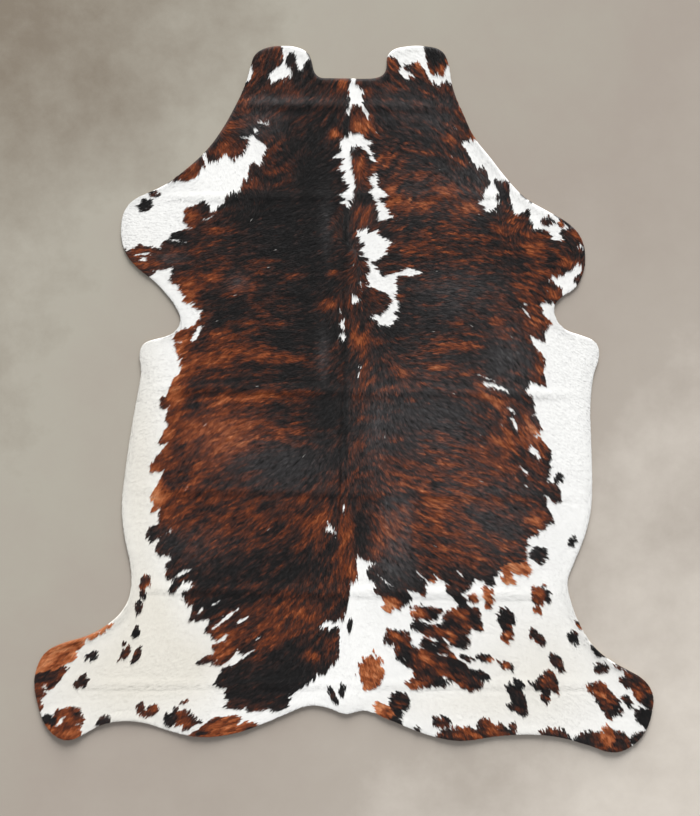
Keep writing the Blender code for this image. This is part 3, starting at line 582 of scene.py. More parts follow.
# Small spots, specks and slits on top of the patches, each a lumpy oval.
spots = (
    # tone, x, y, half width, half height, turn
    # ears and neck
    ("black", -9.8, 103.4, 1.5, 1.0, 0), ("white", -28.6, 98.8, 1.3, 4.8, -6),
    ("white", -23.6, 82.4, 2.2, 0.6, -8), ("white", -26, 80.2, 1.0, 1.0, 0),
    ("white", 33.2, 81.2, 0.25, 1.5, 0),
    # shoulders and forelegs
    ("white", -41.6, 71.6, 0.7, 2.1, 18), ("white", -41, 54.1, 1.5, 0.35, 15),
    ("black", -60, 57.8, 2.1, 1.6, 35), ("dark", -57.6, 61, 1.6, 0.6, -5),
    ("dark", -64.6, 59.8, 1.9, 1.0, 40), ("white", -60.3, 43.2, 3.2, 0.4, 2),
    ("white", -60.2, 41.7, 1.7, 0.7, 0), ("white", -50.2, 47.2, 2.6, 0.45, -12),
    ("black", 54.9, 61, 2.8, 1.0, -35), ("black", 65.6, 53.4, 4.0, 0.5, -38),
    ("dark", 61, 53, 1.6, 0.9, 0), ("brown", 65.1, 52.1, 0.9, 0.6, 0),
    ("white", 71.6, 45.2, 1.6, 0.6, -10),
    # chest and spine
    ("white", 3.5, 29.4, 1.4, 1.2, 0), ("white", 5.5, 33.2, 0.5, 1.4, 0),
    ("white", -1.2, 26, 0.8, 0.4, -40), ("white", 4.3, 8.4, 0.28, 1.9, 0),
    ("white", -0.1, -33, 0.24, 2.0, 0),
    # left flank and loin
    ("white", -44.6, 19.3, 3.4, 1.0, 61), ("white", -49.5, 17, 1.2, 0.4, 0),
    ("white", -52.2, -39.6, 0.6, 0.9, 0), ("white", -48.9, -52.6, 3.3, 0.7, 28),
    # right flank and loin
    ("white", 55.3, 25.3, 1.8, 0.5, -53), ("white", 54.5, 28.3, 0.5, 0.5, 0),
    ("white", 43.1, 6, 3.3, 0.4, -19), ("white", 45.8, 3.1, 4.2, 0.9, -20),
    ("white", 50.6, -3.9, 1.4, 0.5, -42), ("white", 51.4, -7.8, 2.5, 0.6, -61),
    ("white", 57.4, -16.2, 2.7, 0.9, -50), ("white", 54.3, -21.7, 1.8, 0.5, -40),
    ("white", 54.9, -26.1, 0.9, 0.35, -50), ("black", 64.8, -24.4, 1.0, 1.4, 0),
    ("black", 68.9, -42.8, 1.0, 1.8, -20), ("black", 59, -47.2, 2.4, 2.1, -30),
    # left thigh, leg and rump
    ("white", -36, -66.2, 5.2, 0.7, 37), ("white", -30.4, -66.3, 2.6, 0.5, 25),
    ("white", -43.3, -63.8, 1.1, 0.7, 40), ("white", -38.7, -61.3, 1.1, 0.5, 25),
    ("white", -26.2, -72.2, 1.2, 0.35, 20), ("mixed", -59.7, -55.5, 1.2, 2.2, -5),
    ("dark", -60.3, -59.2, 0.8, 0.9, 0), ("dark", -61.9, -63, 1.0, 2.0, -10),
    ("black", -62.5, -70.4, 0.8, 1.4, -20), ("dark", -65.9, -76.7, 2.6, 1.2, 50),
    ("dark", -62.4, -77.2, 2.3, 1.0, 55), ("dark", -66.3, -73.7, 0.4, 0.4, 0),
    ("black", -75.8, -77.1, 1.9, 1.1, 15), ("dark", -78.7, -84.9, 2.1, 1.8, 30),
    ("light", -74.3, -69.8, 4.2, 1.5, 28), ("black", -89, -96.4, 2.4, 1.3, -10),
    ("white", -85.3, -96.9, 1.6, 0.6, 50), ("dark", -72, -97.4, 1.7, 2.0, 0),
    ("mixed", -61.2, -92.9, 1.0, 1.9, -20), ("mixed", -58.2, -93.7, 2.2, 1.4, 25),
    ("mixed", -47.9, -91, 0.9, 0.4, 0), ("black", -52.4, -96.5, 1.8, 1.6, 0),
    # right hip and rump
    ("white", 12.6, -54.9, 3.7, 0.5, -38), ("white", 23.2, -53.1, 2.8, 0.4, -42),
    ("white", 35.4, -53.1, 1.7, 0.4, -50), ("brown", 43.4, -60, 1.4, 3.6, 6),
    ("brown", 39, -60.4, 1.2, 1.6, 20), ("mixed", 24.9, -64.5, 4.8, 1.8, -3),
    ("mixed", 16.2, -71.9, 4.2, 2.1, -4), ("white", 27.3, -74.3, 0.5, 0.4, 0),
    ("white", 29.9, -77.1, 1.2, 0.6, 0), ("white", 30.8, -84, 1.1, 0.5, 0),
    ("black", 40.6, -83, 3.0, 1.3, -25), ("black", 37.4, -78.1, 1.9, 0.6, -10),
    ("dark", 42.3, -77.8, 2.5, 0.6, -12), ("dark", 48.9, -80.3, 2.3, 1.0, -20),
    ("dark", 29.2, -97.1, 2.6, 1.6, -5), ("dark", 22.3, -99.1, 0.9, 0.5, 0),
    # right thigh and leg
    ("black", 49, -66.4, 2.4, 3.2, 0), ("mixed", 49.2, -71.5, 1.6, 1.6, 0),
    ("mixed", 59.2, -59.2, 2.7, 2.7, 0), ("brown", 58.3, -63.5, 1.1, 0.7, 0),
    ("dark", 58.1, -71.6, 3.2, 1.2, -48), ("dark", 63.9, -79, 3.6, 1.3, -60),
    ("black", 69, -71.9, 1.2, 1.9, 0), ("mixed", 71.2, -67.9, 1.7, 0.8, -45),
    ("black", 76.7, -76.2, 2.2, 1.4, -30), ("black", 77.2, -81, 1.9, 1.3, 0),
    ("mixed", 82.7, -80.3, 2.2, 0.8, -25), ("dark", 80, -92, 3.7, 3.0, -45),
    ("brown", 76.8, -87.4, 2.9, 2.0, -15), ("black", 85.2, -91, 2.5, 1.0, -60),
    ("black", 88.6, -102, 3.0, 1.2, 35), ("brown", 79.2, -101.6, 1.9, 2.6, 0),
    ("dark", 63.6, -101.3, 4.2, 1.8, -8),
    # tail
    ("tan", 8, -82.3, 3.6, 4.8, -8), ("black", 1.8, -68.2, 0.6, 1.6, 0),
    ("black", -3.2, -89.3, 3.0, 0.8, -60), ("black", -0.4, -87.8, 0.8, 1.6, -10),
)

coat = {
    # colours of the hair from the blackest to the palest brown, at these shares of brown
    "shades": ((0.0, "#100F0F"), (0.2, "#1C1615"), (0.4, "#372019"), (0.6, "#592B18"),
               (0.8, "#7A3B1C"), (1.0, "#9B532C"), (1.25, "#BC7046"), (1.5, "#CE8A5E")),
    "white": "#E6E6E4",
    "cream": "#D5D1C7",  # yellowed white of the lower legs
    "skin": "#CDB3A2",  # bare skin of the scar
    "grey": "#5E5C5D",  # grey mixed into the dark hair, both for grey hairs and for painted sheen
    "fleck": "#CFCBC6",  # pale tip of a single dark lock
    "brown": 0.31,  # share of brown in the brindle outside the zones
    "zone": 0.30,  # what a zone of lean 1 adds to it
    # and what the streaks and single hairs add to it and take from it
    "bands": 0.065,
    "stripes": 0.12,
    "strands": 0.09,
    "hairs": 0.06,
    "rightBroken": 0.35,  # share by which the streaks are stronger on the right of the spine
    "rightWidth": 15.0,  # over which they gain that strength, cm
    "tipReach": 0.36,  # how far tips of one colour run over the next, cm
    "wander": 0.20,  # of the rim of a patch, cm
    "wanderSize": 1.6,  # from one jag of it to the next, cm
    "darkGrow": 0.22,  # how much larger dark patches and spots are drawn, cm
    "whiteGrow": -0.22,  # the same for white patches, which are drawn smaller
    "slitGrow": -0.14,  # and for white spots
    "lumps": 0.55,  # how uneven a spot is
    "lumpSize": 1.1,  # cm
    "dust": 0.065,  # share of grey hair everywhere
    "greyMost": 0.6,  # share of grey that no place goes over
    "greyStrands": (0.8, 0.25, 1.3),  # its mean, its change from strand to strand and its most
    "greyOnBrown": 0.45,  # share of the grey that brown hair hides
    "blotches": 0.015,  # share by which the white differs from place to place
    "blotchSize": 6.0,  # cm
    "whiteStrands": 0.008,  # share by which it differs from strand to strand
    "whiteRimShade": 0.09,  # share by which the white is darker at the rim: painted shade where the hide curls up
    "rimWidth": 4.0,  # over which that shade fades, cm
}

# Yellowed places of the white coat.
creamZones = (
    # x, y, half width, half height, turn, share
    (-72, -84, 26, 22, 0, 0.9), (58, -84, 24, 20, 0, 0.7), (-45, -80, 12, 14, 0, 0.7),
    (30, -92, 20, 6, 0, 0.4), (-62, -25, 9, 50, 0, 0.9), (-54, -62, 8, 10, 0, 0.4),
)

# Painted sheen: places where grey mixed into the dark coat stands in for the light its hair catches.
sheenZones = (
    # x, y, half width, half height, turn, share
    (26, -6, 20, 20, 0, 0.4), (15.5, -36, 5, 9, 0, 0.45), (10, -12, 4, 14, 0, 0.2),
    (28, 84, 7, 6, 0, 0.3), (16, 88, 9, 7, 0, 0.25), (50, 12, 8, 12, 0, 0.4), (15, -50, 7, 7, 0, 0.45),
    (-18, 89.4, 14, 1.4, 0, 0.4), (-5.5, 52, 1.8, 10, 0, 0.2), (-6.5, 13, 1.8, 7, 0, 0.35),
    (45, -36, 16, 16, 0, 0.35), (40, 62, 8, 8, 0, 0.3), (-25, 83, 6, 5, 0, 0.4),
    (-52, 42, 4, 2, 0, 0.4), (-32, 35, 3, 2.6, 0, 0.4), (-20, -20, 16, 8, 0, 0.3),
    (-36, -12, 12, 9, 0, 0.22), (34, 32, 14, 8, 0, 0.32), (57, -9, 3, 5, 0, 0.35),
    (26, 64, 14, 12, 0, 0.22), (-45, -44, 12, 6, 0, 0.2),
)

# Parts where a fold has parted the coat, so that it shines paler: painted sheen, mixed in as grey.
partings = (
    # share of grey, corners as x, y
    (0.2, ((13, -29.5), (22.3, -29.6), (20.8, -33), (20.2, -38), (20.6, -43), (18.4, -48), (14, -48),
           (12, -38))),
)


def ovalReach(places, x, y, halfWidth, halfHeight, turn):
    # square of the share of a turned oval's radius: 0 in its middle and 1 on its rim
    angle = math.radians(turn)
    right = places[:, 0] - x
    up = places[:, 1] - y
    along = (right * math.cos(angle) + up * math.sin(angle)) / halfWidth
    across = (up * math.cos(angle) - right * math.sin(angle)) / halfHeight
    return along ** 2 + across ** 2


def ovals(places, table):
    # sum of soft ovals, each 1 in its middle
    total = np.zeros(len(places))
    for *oval, amount in table:
        total += amount * np.exp(-ovalReach(places, *oval))
    return total


def within(places, corners):
    # which places lie inside the closed outline
    corners = np.array(corners, float)
    low = corners.min(axis=0)
    high = corners.max(axis=0)
    near = np.nonzero(((places >= low) & (places <= high)).all(axis=1))[0]
    x, y = places[near, 0], places[near, 1]
    odd = np.zeros(len(near), bool)
    for (x0, y0), (x1, y1) in zip(corners, np.roll(corners, -1, axis=0)):
        if y0 == y1:
            continue
        crosses = ((y0 > y) != (y1 > y)) & (x < (x1 - x0) * (y - y0) / (y1 - y0) + x0)
        odd ^= crosses
    inside = np.zeros(len(places), bool)
    inside[near] = odd
    return inside


def grown(corners, amount):
    # the same outline moved outwards by amount, cm
    points = np.array(corners, float)
    return points + amount * np.sign(areaOf(points)) * outwardOf(points)


def shade(brown):
    # linear colour of dark hair at each share of brown
    stops = [share for share, code in coat["shades"]]
    colours = np.array([linear(code) for share, code in coat["shades"]])
    return np.stack([np.interp(brown, stops, colours[:, i]) for i in range(3)], axis=1)


def coatColour(places, seed):
    # linear colour of the hair at places in cm, and whether it is white
    chance = np.random.default_rng(seed)
    strands = streak("strands", places)
    moved = places - lieAt(places) * (coat["tipReach"] * streak("tips", places))[:, None]
    moved[:, 0] += coat["wander"] * clouds(places, coat["wanderSize"], seeds["wanderX"])
    moved[:, 1] += coat["wander"] * clouds(places, coat["wanderSize"], seeds["wanderY"])
    brindle = coat["brown"] + coat["zone"] * ovals(places, brindleZones)
    lean = coat["zone"] * ovals(places, patchZones)
    white = np.ones(len(places), bool)
    skin = np.zeros(len(places), bool)
    brown = brindle.copy()

    def paint(inside, tone):
        white[inside] = tone in ("white", "skin")
        skin[inside] = tone == "skin"
        brown[inside] = tones[tone] + lean[inside] if tone in tones else brindle[inside]

    for _, tone, corners in patches:
        grow = coat["whiteGrow"] if tone in ("white", "skin") else coat["darkGrow"]
        paint(within(moved, corners if tone == "brindle" else grown(corners, grow)), tone)
    lumpy = 1 + coat["lumps"] * clouds(places, coat["lumpSize"], seeds["lumps"])
    for tone, x, y, halfWidth, halfHeight, turn in spots:
        grow = coat["slitGrow"] if tone == "white" else coat["darkGrow"]
        paint(ovalReach(moved, x, y, halfWidth + grow, halfHeight + grow, turn) < lumpy, tone)

    broken = 1 + coat["rightBroken"] * smooth(places[:, 0] / coat["rightWidth"])
    for name in ("bands", "stripes", "strands"):
        brown += coat[name] * broken * streak(name, places)
    brown += coat["hairs"] * chance.standard_normal(len(places))
    # real grey hair everywhere, and painted sheen in the sheen zones and the partings
    grey = coat["dust"] + ovals(places, sheenZones)
    for share, corners in partings:
        grey[within(moved, corners)] += share
    mean, change, most = coat["greyStrands"]
    grey = np.clip(grey, 0, coat["greyMost"]) * np.clip(mean + change * strands, 0, most)
    grey *= 1 - coat["greyOnBrown"] * np.clip(brown, 0, 1)
    dark = mix(shade(brown), np.array(linear(coat["grey"])), grey[:, None])

    yellowed = np.clip(ovals(places, creamZones), 0, 1)[:, None]
    pale = mix(np.array(linear(coat["white"])), np.array(linear(coat["cream"])), yellowed)
    blotches = coat["blotches"] * clouds(places, coat["blotchSize"], seeds["blotches"])
    pale *= 1 + (blotches + coat["whiteStrands"] * strands)[:, None]
    # painted shade on the white towards the rim
    inward = 1 + pastRim(places * cm) / (coat["rimWidth"] * cm)
    pale *= 1 - coat["whiteRimShade"] * smooth(inward)[:, None]
    pale[skin] = linear(coat["skin"])
    return np.clip(np.where(white[:, None], pale, dark), 0, 1), white


# Pressed-in folds: soft ridges, each with the narrow crease on its crest where the hide was bent.
folds = (
    # name, way, place cm, from cm, to cm, turn, height mm, half width cm, crease mm
    ("neck fold", "across", 87.6, -36.0, 36.0, -1.0, 4.0, 2.5, 0.5),
    ("shoulder fold", "across", 60.6, -62.0, 56.0, 0.5, 2.5, 2.5, 0.3),
    ("chest fold", "across", 31.8, -54.0, 66.0, 0.0, 1.5, 3.0, 0.2),
    ("middle fold", "across", 2.0, -63.0, 75.0, -0.9, 4.0, 3.0, 0.5),
    ("loin fold", "across", -28.6, -67.0, 75.0, -0.9, 3.5, 3.0, 0.5),
    ("hip fold", "across", -58.2, -66.0, 69.0, -1.0, 3.4, 3.0, 0.5),
    ("rump fold", "across", -86.0, -92.0, 92.0, 0.0, 2.0, 3.0, 0.3),
    ("spine fold", "along", 0.4, -92.0, 96.0, 0.8, 2.5, 3.5, 0.5),
    ("left side fold", "along", -29.7, -98.0, 94.0, 0.0, 2.0, 3.0, 0.2),
    ("right side fold", "along", 36.6, -101.0, 78.0, 0.0, 2.0, 3.0, 0.2),
)

# Painted crease shade: dark lines along the folds, where the bent hair parts and lies in shadow.
shadedCreaseLines = (
    # fold, from cm, to cm, share darkened, half width cm
    ("neck fold", -34, -1, 0.55, 0.5),
    ("neck fold", 26, 36, 0.5, 0.5),
    ("shoulder fold", -34, 50, 0.15, 0.4),
    ("chest fold", -48, 60, 0.06, 0.4),
    ("middle fold", -58, -26, 0.65, 1.1),
    ("middle fold", -30, 66, 0.4, 0.4),
    ("loin fold", -48, -24, 0.7, 0.9),
    ("loin fold", -30, 66, 0.8, 0.35),
    ("hip fold", -52, -34, 0.8, 0.9),
    ("hip fold", -40, 46, 0.4, 0.4),
    ("hip fold", 9, 22, 0.6, 0.6),
    ("rump fold", -88, 88, 0.25, 0.35),
    ("spine fold", -90, 90, 0.4, 0.5),
    ("spine crease", -38, 22, 1.0, 1.1),
    ("spine crease", 24, 58, 0.9, 0.9),
    ("left side fold", -90, 90, 0.08, 0.4),
    ("right side fold", -90, 76, 0.08, 0.4),
)

# The crease beside the spine fold that the hair closes over, drawn only as a line of painted shade: way,
# place cm and turn.
spineCrease = ("along", -0.45, -1.3)

# Places where the rim has dried a little off the ground.
rimLifts = (
    # name, x cm, y cm, reach cm, height mm
    ("left ear corner", -27.0, 104.0, 12.0, 3.0),
    ("right ear corner", 29.0, 104.0, 12.0, 3.0),
    ("left foreleg end", -66.0, 52.0, 14.0, 3.0),
    ("right foreleg end", 71.0, 45.0, 14.0, 3.0),
    ("left belly corner", -61.0, 14.0, 12.0, 5.0),
    ("right belly corner", 76.0, 14.0, 12.0, 5.0),
    ("left hock", -90.0, -83.0, 16.0, 4.0),
    ("left leg end", -83.0, -102.0, 15.0, 8.0),
    ("left rump edge", -43.0, -102.0, 20.0, 6.0),
    ("tail edge", 1.0, -95.0, 14.0, 5.0),
    ("right rump edge", 35.0, -103.0, 20.0, 6.0),
    ("right leg end", 81.0, -106.0, 14.0, 6.0),
    ("right hock", 91.0, -88.0, 14.0, 4.0),
)

hide = {
    "leather": 2.2,  # thickness, mm
    "bulge": 0.3,  # how far its rim is rounded outwards, as a share of the thickness
    "gridStep": 12.0,  # between two points of the sheet, mm
    "rimStep": 6.0,  # between two points of its rim, mm
    "fineStep": 3.0,  # between two points of the rim that distances are measured from, mm
    "softness": 5.0,  # over which the corners of the outline are eased, mm
    "weld": 0.02,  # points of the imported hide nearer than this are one, mm
    "creaseRows": (-9.0, -4.5, 0.0, 4.5, 9.0),  # rows of points beside a crease, mm
    "creaseStep": 0.8,  # between two points of such a row, cm
    "creaseWidth": 8.0,  # half width of a crease, mm
    "creaseGap": 0.4,  # nearest that the sheet's points come to these rows, in grid steps
    "rimGap": 0.45,  # and to the rim
    # share by which creases, lines of painted crease shade and the curl change along their way, and over
    # how many cm
    "creaseUneven": (0.4, 7.0),
    "lineUneven": (0.35, 6.0),
    "curlUneven": (0.3, 9.0),
    "curl": 3.6,  # height of the rim, where the dried hide curls off the ground, mm
    "curlReach": 2.8,  # width of that curl, cm
    "curlTail": 0.5,  # share by which it is higher at the tail
    "fade": 0.15,  # share of a fold at each end over which it dies away
    "lineFade": 6.0,  # over which a line of painted crease shade does, cm
    "shortFlank": 2.0,  # how many times shorter the flank on a fold's tail side is
    "sharpSide": 2.5,  # how many times sharper a line of painted crease shade is on that side
    "waves": 1.4,  # height of the slow unevenness of the hide, mm
    "waveSize": 15.0,  # its size, cm
    "leanReach": 0.3,  # over which its slope is measured, cm
}


def foldLine(way, place, turn):
    # a point of the fold in cm and the direction in which it runs
    angle = math.radians(turn)
    if way == "across":
        return np.array([0.0, place]), np.array([math.cos(angle), math.sin(angle)])
    return np.array([place, 0.0]), np.array([-math.sin(angle), math.cos(angle)])


def besideFold(places, way, place, turn):
    # how far places lie along a fold and to the side of it, cm
    point, run = foldLine(way, place, turn)
    offset = places - point
    return offset @ run, offset @ np.array([-run[1], run[0]])


def makeShapeMaps():
    # height of the underside above the ground in mm, and the share of painted crease shade at each place
    places = mapPlaces(lie["step"])
    height = np.zeros(len(places))
    crease = np.zeros(len(places))
    creaseShade = np.zeros(len(places))
    for index, (_, way, place, start, end, turn, rise, halfWidth, depth) in enumerate(folds):
        along, side = besideFold(places, way, place, turn)
        # pressed flat towards the tail: a long flank up to the fold and a short one after it
        side = np.where(side > 0, side, -side * hide["shortFlank"])
        along = (along - start) / (end - start)
        ends = smooth(along / hide["fade"]) * smooth((1 - along) / hide["fade"])
        height = np.maximum(height, rise * ends * smooth(1 - side / halfWidth))
        changes = patchy(places, *hide["creaseUneven"], seeds["folds"] + index)
        sharp = smooth(1 - side * 10 / hide["creaseWidth"])
        crease = np.maximum(crease, depth * ends * changes * sharp)
    lines = {name: (way, place, turn) for name, way, place, _, _, turn, *_ in folds}
    lines["spine crease"] = spineCrease
    for index, (name, start, end, darkening, halfWidth) in enumerate(shadedCreaseLines):
        along, side = besideFold(places, *lines[name])
        # sharp towards the tail, soft towards the neck
        side = np.where(side > 0, side, -side * hide["sharpSide"])
        ends = smooth((along - start) / hide["lineFade"]) * smooth((end - along) / hide["lineFade"])
        changes = patchy(places, *hide["lineUneven"], seeds["lines"] + index)
        creaseShade = np.maximum(creaseShade, darkening * ends * changes * smooth(1 - side / halfWidth))
    for _, x, y, reach, rise in rimLifts:
        away = np.hypot(places[:, 0] - x, places[:, 1] - y)
        height = np.maximum(height, rise * smooth(1 - away / reach))
    inside = -pastRim(places * cm) / cm
    rearEnd = 90.0  # cm from mid length
    tailward = 1 + hide["curlTail"] * smooth(-places[:, 1] / rearEnd)
    curl = hide["curl"] * tailward * smooth(1 - inside / hide["curlReach"])
    height = np.maximum(height, curl * patchy(places, *hide["curlUneven"], seeds["curl"]))
    waves = hide["waves"] * np.maximum(clouds(places, hide["waveSize"], seeds["waves"]), 0) ** 2
    shape = mapShape(lie["step"])
    return (np.maximum(height - crease, 0) + waves).reshape(shape), creaseShade.reshape(shape)


def hideHeight(places):
    # height of the underside above the ground, in m, at places in cm
    return readMap(heightMap, lie["step"], places) * mm


def leanOfHide(places):
    # how far the surface leans to the right and up, as the flat part of its normal
    reach = hide["leanReach"]
    right = hideHeight(places + (reach, 0)) - hideHeight(places - (reach, 0))
    up = hideHeight(places + (0, reach)) - hideHeight(places - (0, reach))
    return np.stack([-right, -up], axis=1) / (2 * reach * cm)


def rimOfFrame():
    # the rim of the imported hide, anticlockwise, in m
    mesh = bmesh.new()
    mesh.from_mesh(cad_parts["hide"].data)
    bmesh.ops.remove_doubles(mesh, verts=mesh.verts, dist=hide["weld"] * mm)
    mesh.normal_update()
    downward = -0.7
    under = {face for face in mesh.faces if face.normal.z < downward}
    after = {}
    for face in under:
        for loop in face.loops:
            if not any(other in under for other in loop.edge.link_faces if other is not face):
                after[loop.vert] = loop.link_loop_next.vert
    # the leftmost point is the first, so that each run spaces the rim alike
    start = min(after, key=lambda vert: (vert.co.x, vert.co.y))
    points = [start]
    while after[points[-1]] is not start:
        points.append(after[points[-1]])
    outline = np.array([(point.co.x, point.co.y) for point in points])
    mesh.free()
    return outline if areaOf(outline) > 0 else outline[::-1]


def evenRim(outline, step, softness):
    # the same outline with even spacing and its corners eased, all in m
    closed = np.vstack([outline, outline[:1]])
    lengths = np.concatenate([[0], np.cumsum(np.linalg.norm(np.diff(closed, axis=0), axis=1))])
    spacing = 1.5 * mm
    fine = int(lengths[-1] / spacing)
    marks = np.arange(fine) * lengths[-1] / fine
    points = np.stack([np.interp(marks, lengths, closed[:, i]) for i in range(2)], axis=1)
    # each point becomes the mean of those beside it, weighted by a bell curve
    reach = int(3 * softness / spacing)
    offsets = np.arange(-reach, reach + 1)
    weights = np.exp(-0.5 * (offsets * spacing / softness) ** 2)
    eased = sum(w * np.roll(points, -o, axis=0) for o, w in zip(offsets, weights)) / weights.sum()
    count = int(lengths[-1] / step)
    return eased[(np.arange(count) * fine / count).astype(int)]


rim = rimOfFrame()
fineRim = evenRim(rim, hide["fineStep"] * mm, hide["softness"] * mm)
rimOut = outwardOf(fineRim)
rimTree = kdtree.KDTree(len(fineRim))
for index, (x, y) in enumerate(fineRim):
    rimTree.insert((x, y, 0.0), index)
rimTree.balance()
print("rim of the hide:", len(fineRim), "points")


def pastRim(points):
    # how far each point in m lies outside the rim, below 0 inside
    nearest = np.fromiter((rimTree.find((x, y, 0.0))[1] for x, y in points), int, len(points))
    return np.sum((points - fineRim[nearest]) * rimOut[nearest], axis=1)


heightMap, creaseShadeMap = makeShapeMaps()
print("folds and curls of the hide are worked out")


def sheetPoints():
    # an even net over the whole hide and denser rows beside each crease, in m
    step = hide["gridStep"] * mm
    net = evenNet(fineRim.min(axis=0), fineRim.max(axis=0), step)
    beside = np.full(len(net), 1.0)
    creases = []
    for _, way, place, start, end, turn, *_ in folds:
        point, run = foldLine(way, place, turn)
        across = np.array([-run[1], run[0]])
        along, side = besideFold(net / cm, way, place, turn)
        onFold = (along > start) & (along < end)
        beside = np.where(onFold, np.minimum(beside, np.abs(side) * cm), beside)
        marks = np.arange(start, end, hide["creaseStep"])
        for index, row in enumerate(hide["creaseRows"]):
            # every second row is shifted by half a step
            shift = hide["creaseStep"] / 2 * (index % 2)
            line = point + np.outer(marks + shift, run) + across * row / 10
            creases.append(line * cm)
    widest = hide["creaseRows"][-1] * mm + step * hide["creaseGap"]
    points = np.vstack([net[beside > widest]] + creases)
    return points[pastRim(points) < -step * hide["rimGap"]]


def unwrapLeather(mesh, places, middle, firstRim):
    # the two sides beside each other, and the rim as two strips along the top of the map
    total, count = len(places), len(middle)
    corner = np.empty(len(mesh.loops), int)
    mesh.loops.foreach_get("vertex_index", corner)
    low = fineRim.min(axis=0)
    size = fineRim.max(axis=0) - low
    sideShare = (0.49, 0.95)  # of the map's width and height that each side takes
    uv = (np.vstack([places, places, middle]) - low) / size * sideShare
    uv[total:2 * total, 0] += 0.5
    uvCorner = uv[corner]
    strip = np.array([(s, s, s + 1 / count, s + 1 / count) for s in np.arange(count) / count])
    levels = ((1.0, 0.985, 0.985, 1.0), (0.985, 0.97, 0.97, 0.985))
    rimUv = [np.stack([strip, np.tile(level, (count, 1))], axis=2) for level in levels]
    uvCorner[firstRim:] = np.stack(rimUv, axis=1).reshape(-1, 2)
    mesh.uv_layers.new(name="OFBake").data.foreach_set("uv", uvCorner.ravel())


def makeLeather():
    rimPoints = evenRim(rim, hide["rimStep"] * mm, hide["softness"] * mm)
    count = len(rimPoints)
    flat = [Vector(point) for point in np.vstack([rimPoints, sheetPoints()]).tolist()]
    result = geometry.delaunay_2d_cdt(flat, [], [list(range(count))], 1, 1e-6)
    places = np.array([tuple(point) for point in result[0]])
    triangles = np.array(result[2])
    rimIndex = np.zeros(count, int)
    for index, origins in enumerate(result[3]):
        if origins and origins[0] < count:
            rimIndex[origins[0]] = index
    height = hideHeight(places / cm)
    total = len(places)
    thickness = hide["leather"] * mm
    middle = places[rimIndex] + outwardOf(rimPoints) * thickness * hide["bulge"]
    points = np.vstack([
        np.column_stack([places, height + thickness]),
        np.column_stack([places, height]),
        np.column_stack([middle, height[rimIndex] + thickness / 2]),
    ])
    faces = [tuple(t) for t in triangles.tolist()]
    faces += [(c + total, b + total, a + total) for a, b, c in triangles.tolist()]
    ring = 2 * total + np.arange(count)
    rows = np.stack([rimIndex, np.roll(rimIndex, -1), ring, np.roll(ring, -1)], axis=1)
    for a, b, m, n in rows.tolist():
        faces.append((a, m, n, b))
        faces.append((m, a + total, b + total, n))
    leather = newPiece("leather", points.tolist(), faces)
    mesh = leather.data
    colour, white = coatColour(places / cm, seeds["roots"])
    # painted shade between the locks
    under = colour * np.where(white, leatherLook["whiteRootShade"], leatherLook["darkRootShade"])[:, None]
    flesh = np.tile(linear(leatherLook["flesh"]), (total, 1))
    # the rim gets painted shade
    setColour(mesh, "coat", np.vstack([under, flesh, under[rimIndex] * leatherLook["rimShade"]]))
    unwrapLeather(mesh, places, middle, 2 * len(triangles) * 3)
    mesh.materials.append(hairRoots())
    mesh.materials.append(suedeSide())
    # suede on the underside and on the lower half of the rim
    kinds = np.zeros(len(mesh.polygons), int)
    kinds[len(triangles):] = 1
    kinds[2 * len(triangles)::2] = 0
    mesh.polygons.foreach_set("material_index", kinds)
    mesh.polygons.foreach_set("use_smooth", np.ones(len(mesh.polygons), bool))
    mesh.update()
    return leather


def setColour(mesh, name, colours):
    # one linear colour for each point
    layer = mesh.color_attributes.new(name=name, type="FLOAT_COLOR", domain="POINT")
    layer.data.foreach_set("color", np.column_stack([colours, np.ones(len(colours))]).ravel())


leatherLook = {
    "flesh": "#C9B79C",  # colour kept on the points of the underside
    "suede": ((0.3, "#B5A184"), (0.7, "#D8C9AF")),  # tones of its mottling
    "roughness": 0.85,
    # share of the coat's colour that shows between the locks, under white and under dark hair, the rest
    # taken off as painted shade
    "whiteRootShade": 0.98,
    "darkRootShade": 0.55,
    "rimShade": 0.25,  # and on the rim: painted shade under the tips that hang over it
}


def hairRoots():
    # short dense hair at its roots on chrome-tanned skin: the coat's own colour, dull and darkened by
    # painted shade from the locks over it
    material, tree = newMaterial("hair_roots_on_tanned_skin")
    tint = addNode(tree, "ShaderNodeAttribute", {"attribute_name": "coat"})
    shader = addNode(tree, "ShaderNodeBsdfPrincipled", values={"Roughness": 0.8, "IOR": 1.5},
                     links={"Base Color": tint.outputs["Color"]})
    addNode(tree, "ShaderNodeOutputMaterial", links={"Surface": shader.outputs[0]})
    return material


def suedeSide():
    # chrome-tanned skin, buffed on its flesh side: pale, matt and finely napped
    material, tree = newMaterial("buffed_suede_flesh_side")
    place = addNode(tree, "ShaderNodeTexCoord")
    nap = addNode(tree, "ShaderNodeTexNoise", values={"Scale": 260.0, "Detail": 4.0},
                  links={"Vector": place.outputs["Object"]})
    mottle = addNode(tree, "ShaderNodeTexNoise", values={"Scale": 9.0, "Detail": 3.0},
                     links={"Vector": place.outputs["Object"]})
    pale = addNode(tree, "ShaderNodeValToRGB", links={"Fac": mottle.outputs["Fac"]})
    setRamp(pale, leatherLook["suede"])
    bump = addNode(tree, "ShaderNodeBump", values={"Strength": 0.4, "Distance": 0.0006},
                   links={"Height": nap.outputs["Fac"]})
    shader = addNode(tree, "ShaderNodeBsdfPrincipled",
                     values={"Roughness": leatherLook["roughness"], "IOR": 1.5},
                     links={"Base Color": pale.outputs["Color"], "Normal": bump.outputs["Normal"]})
    addNode(tree, "ShaderNodeOutputMaterial", links={"Surface": shader.outputs[0]})
    return material


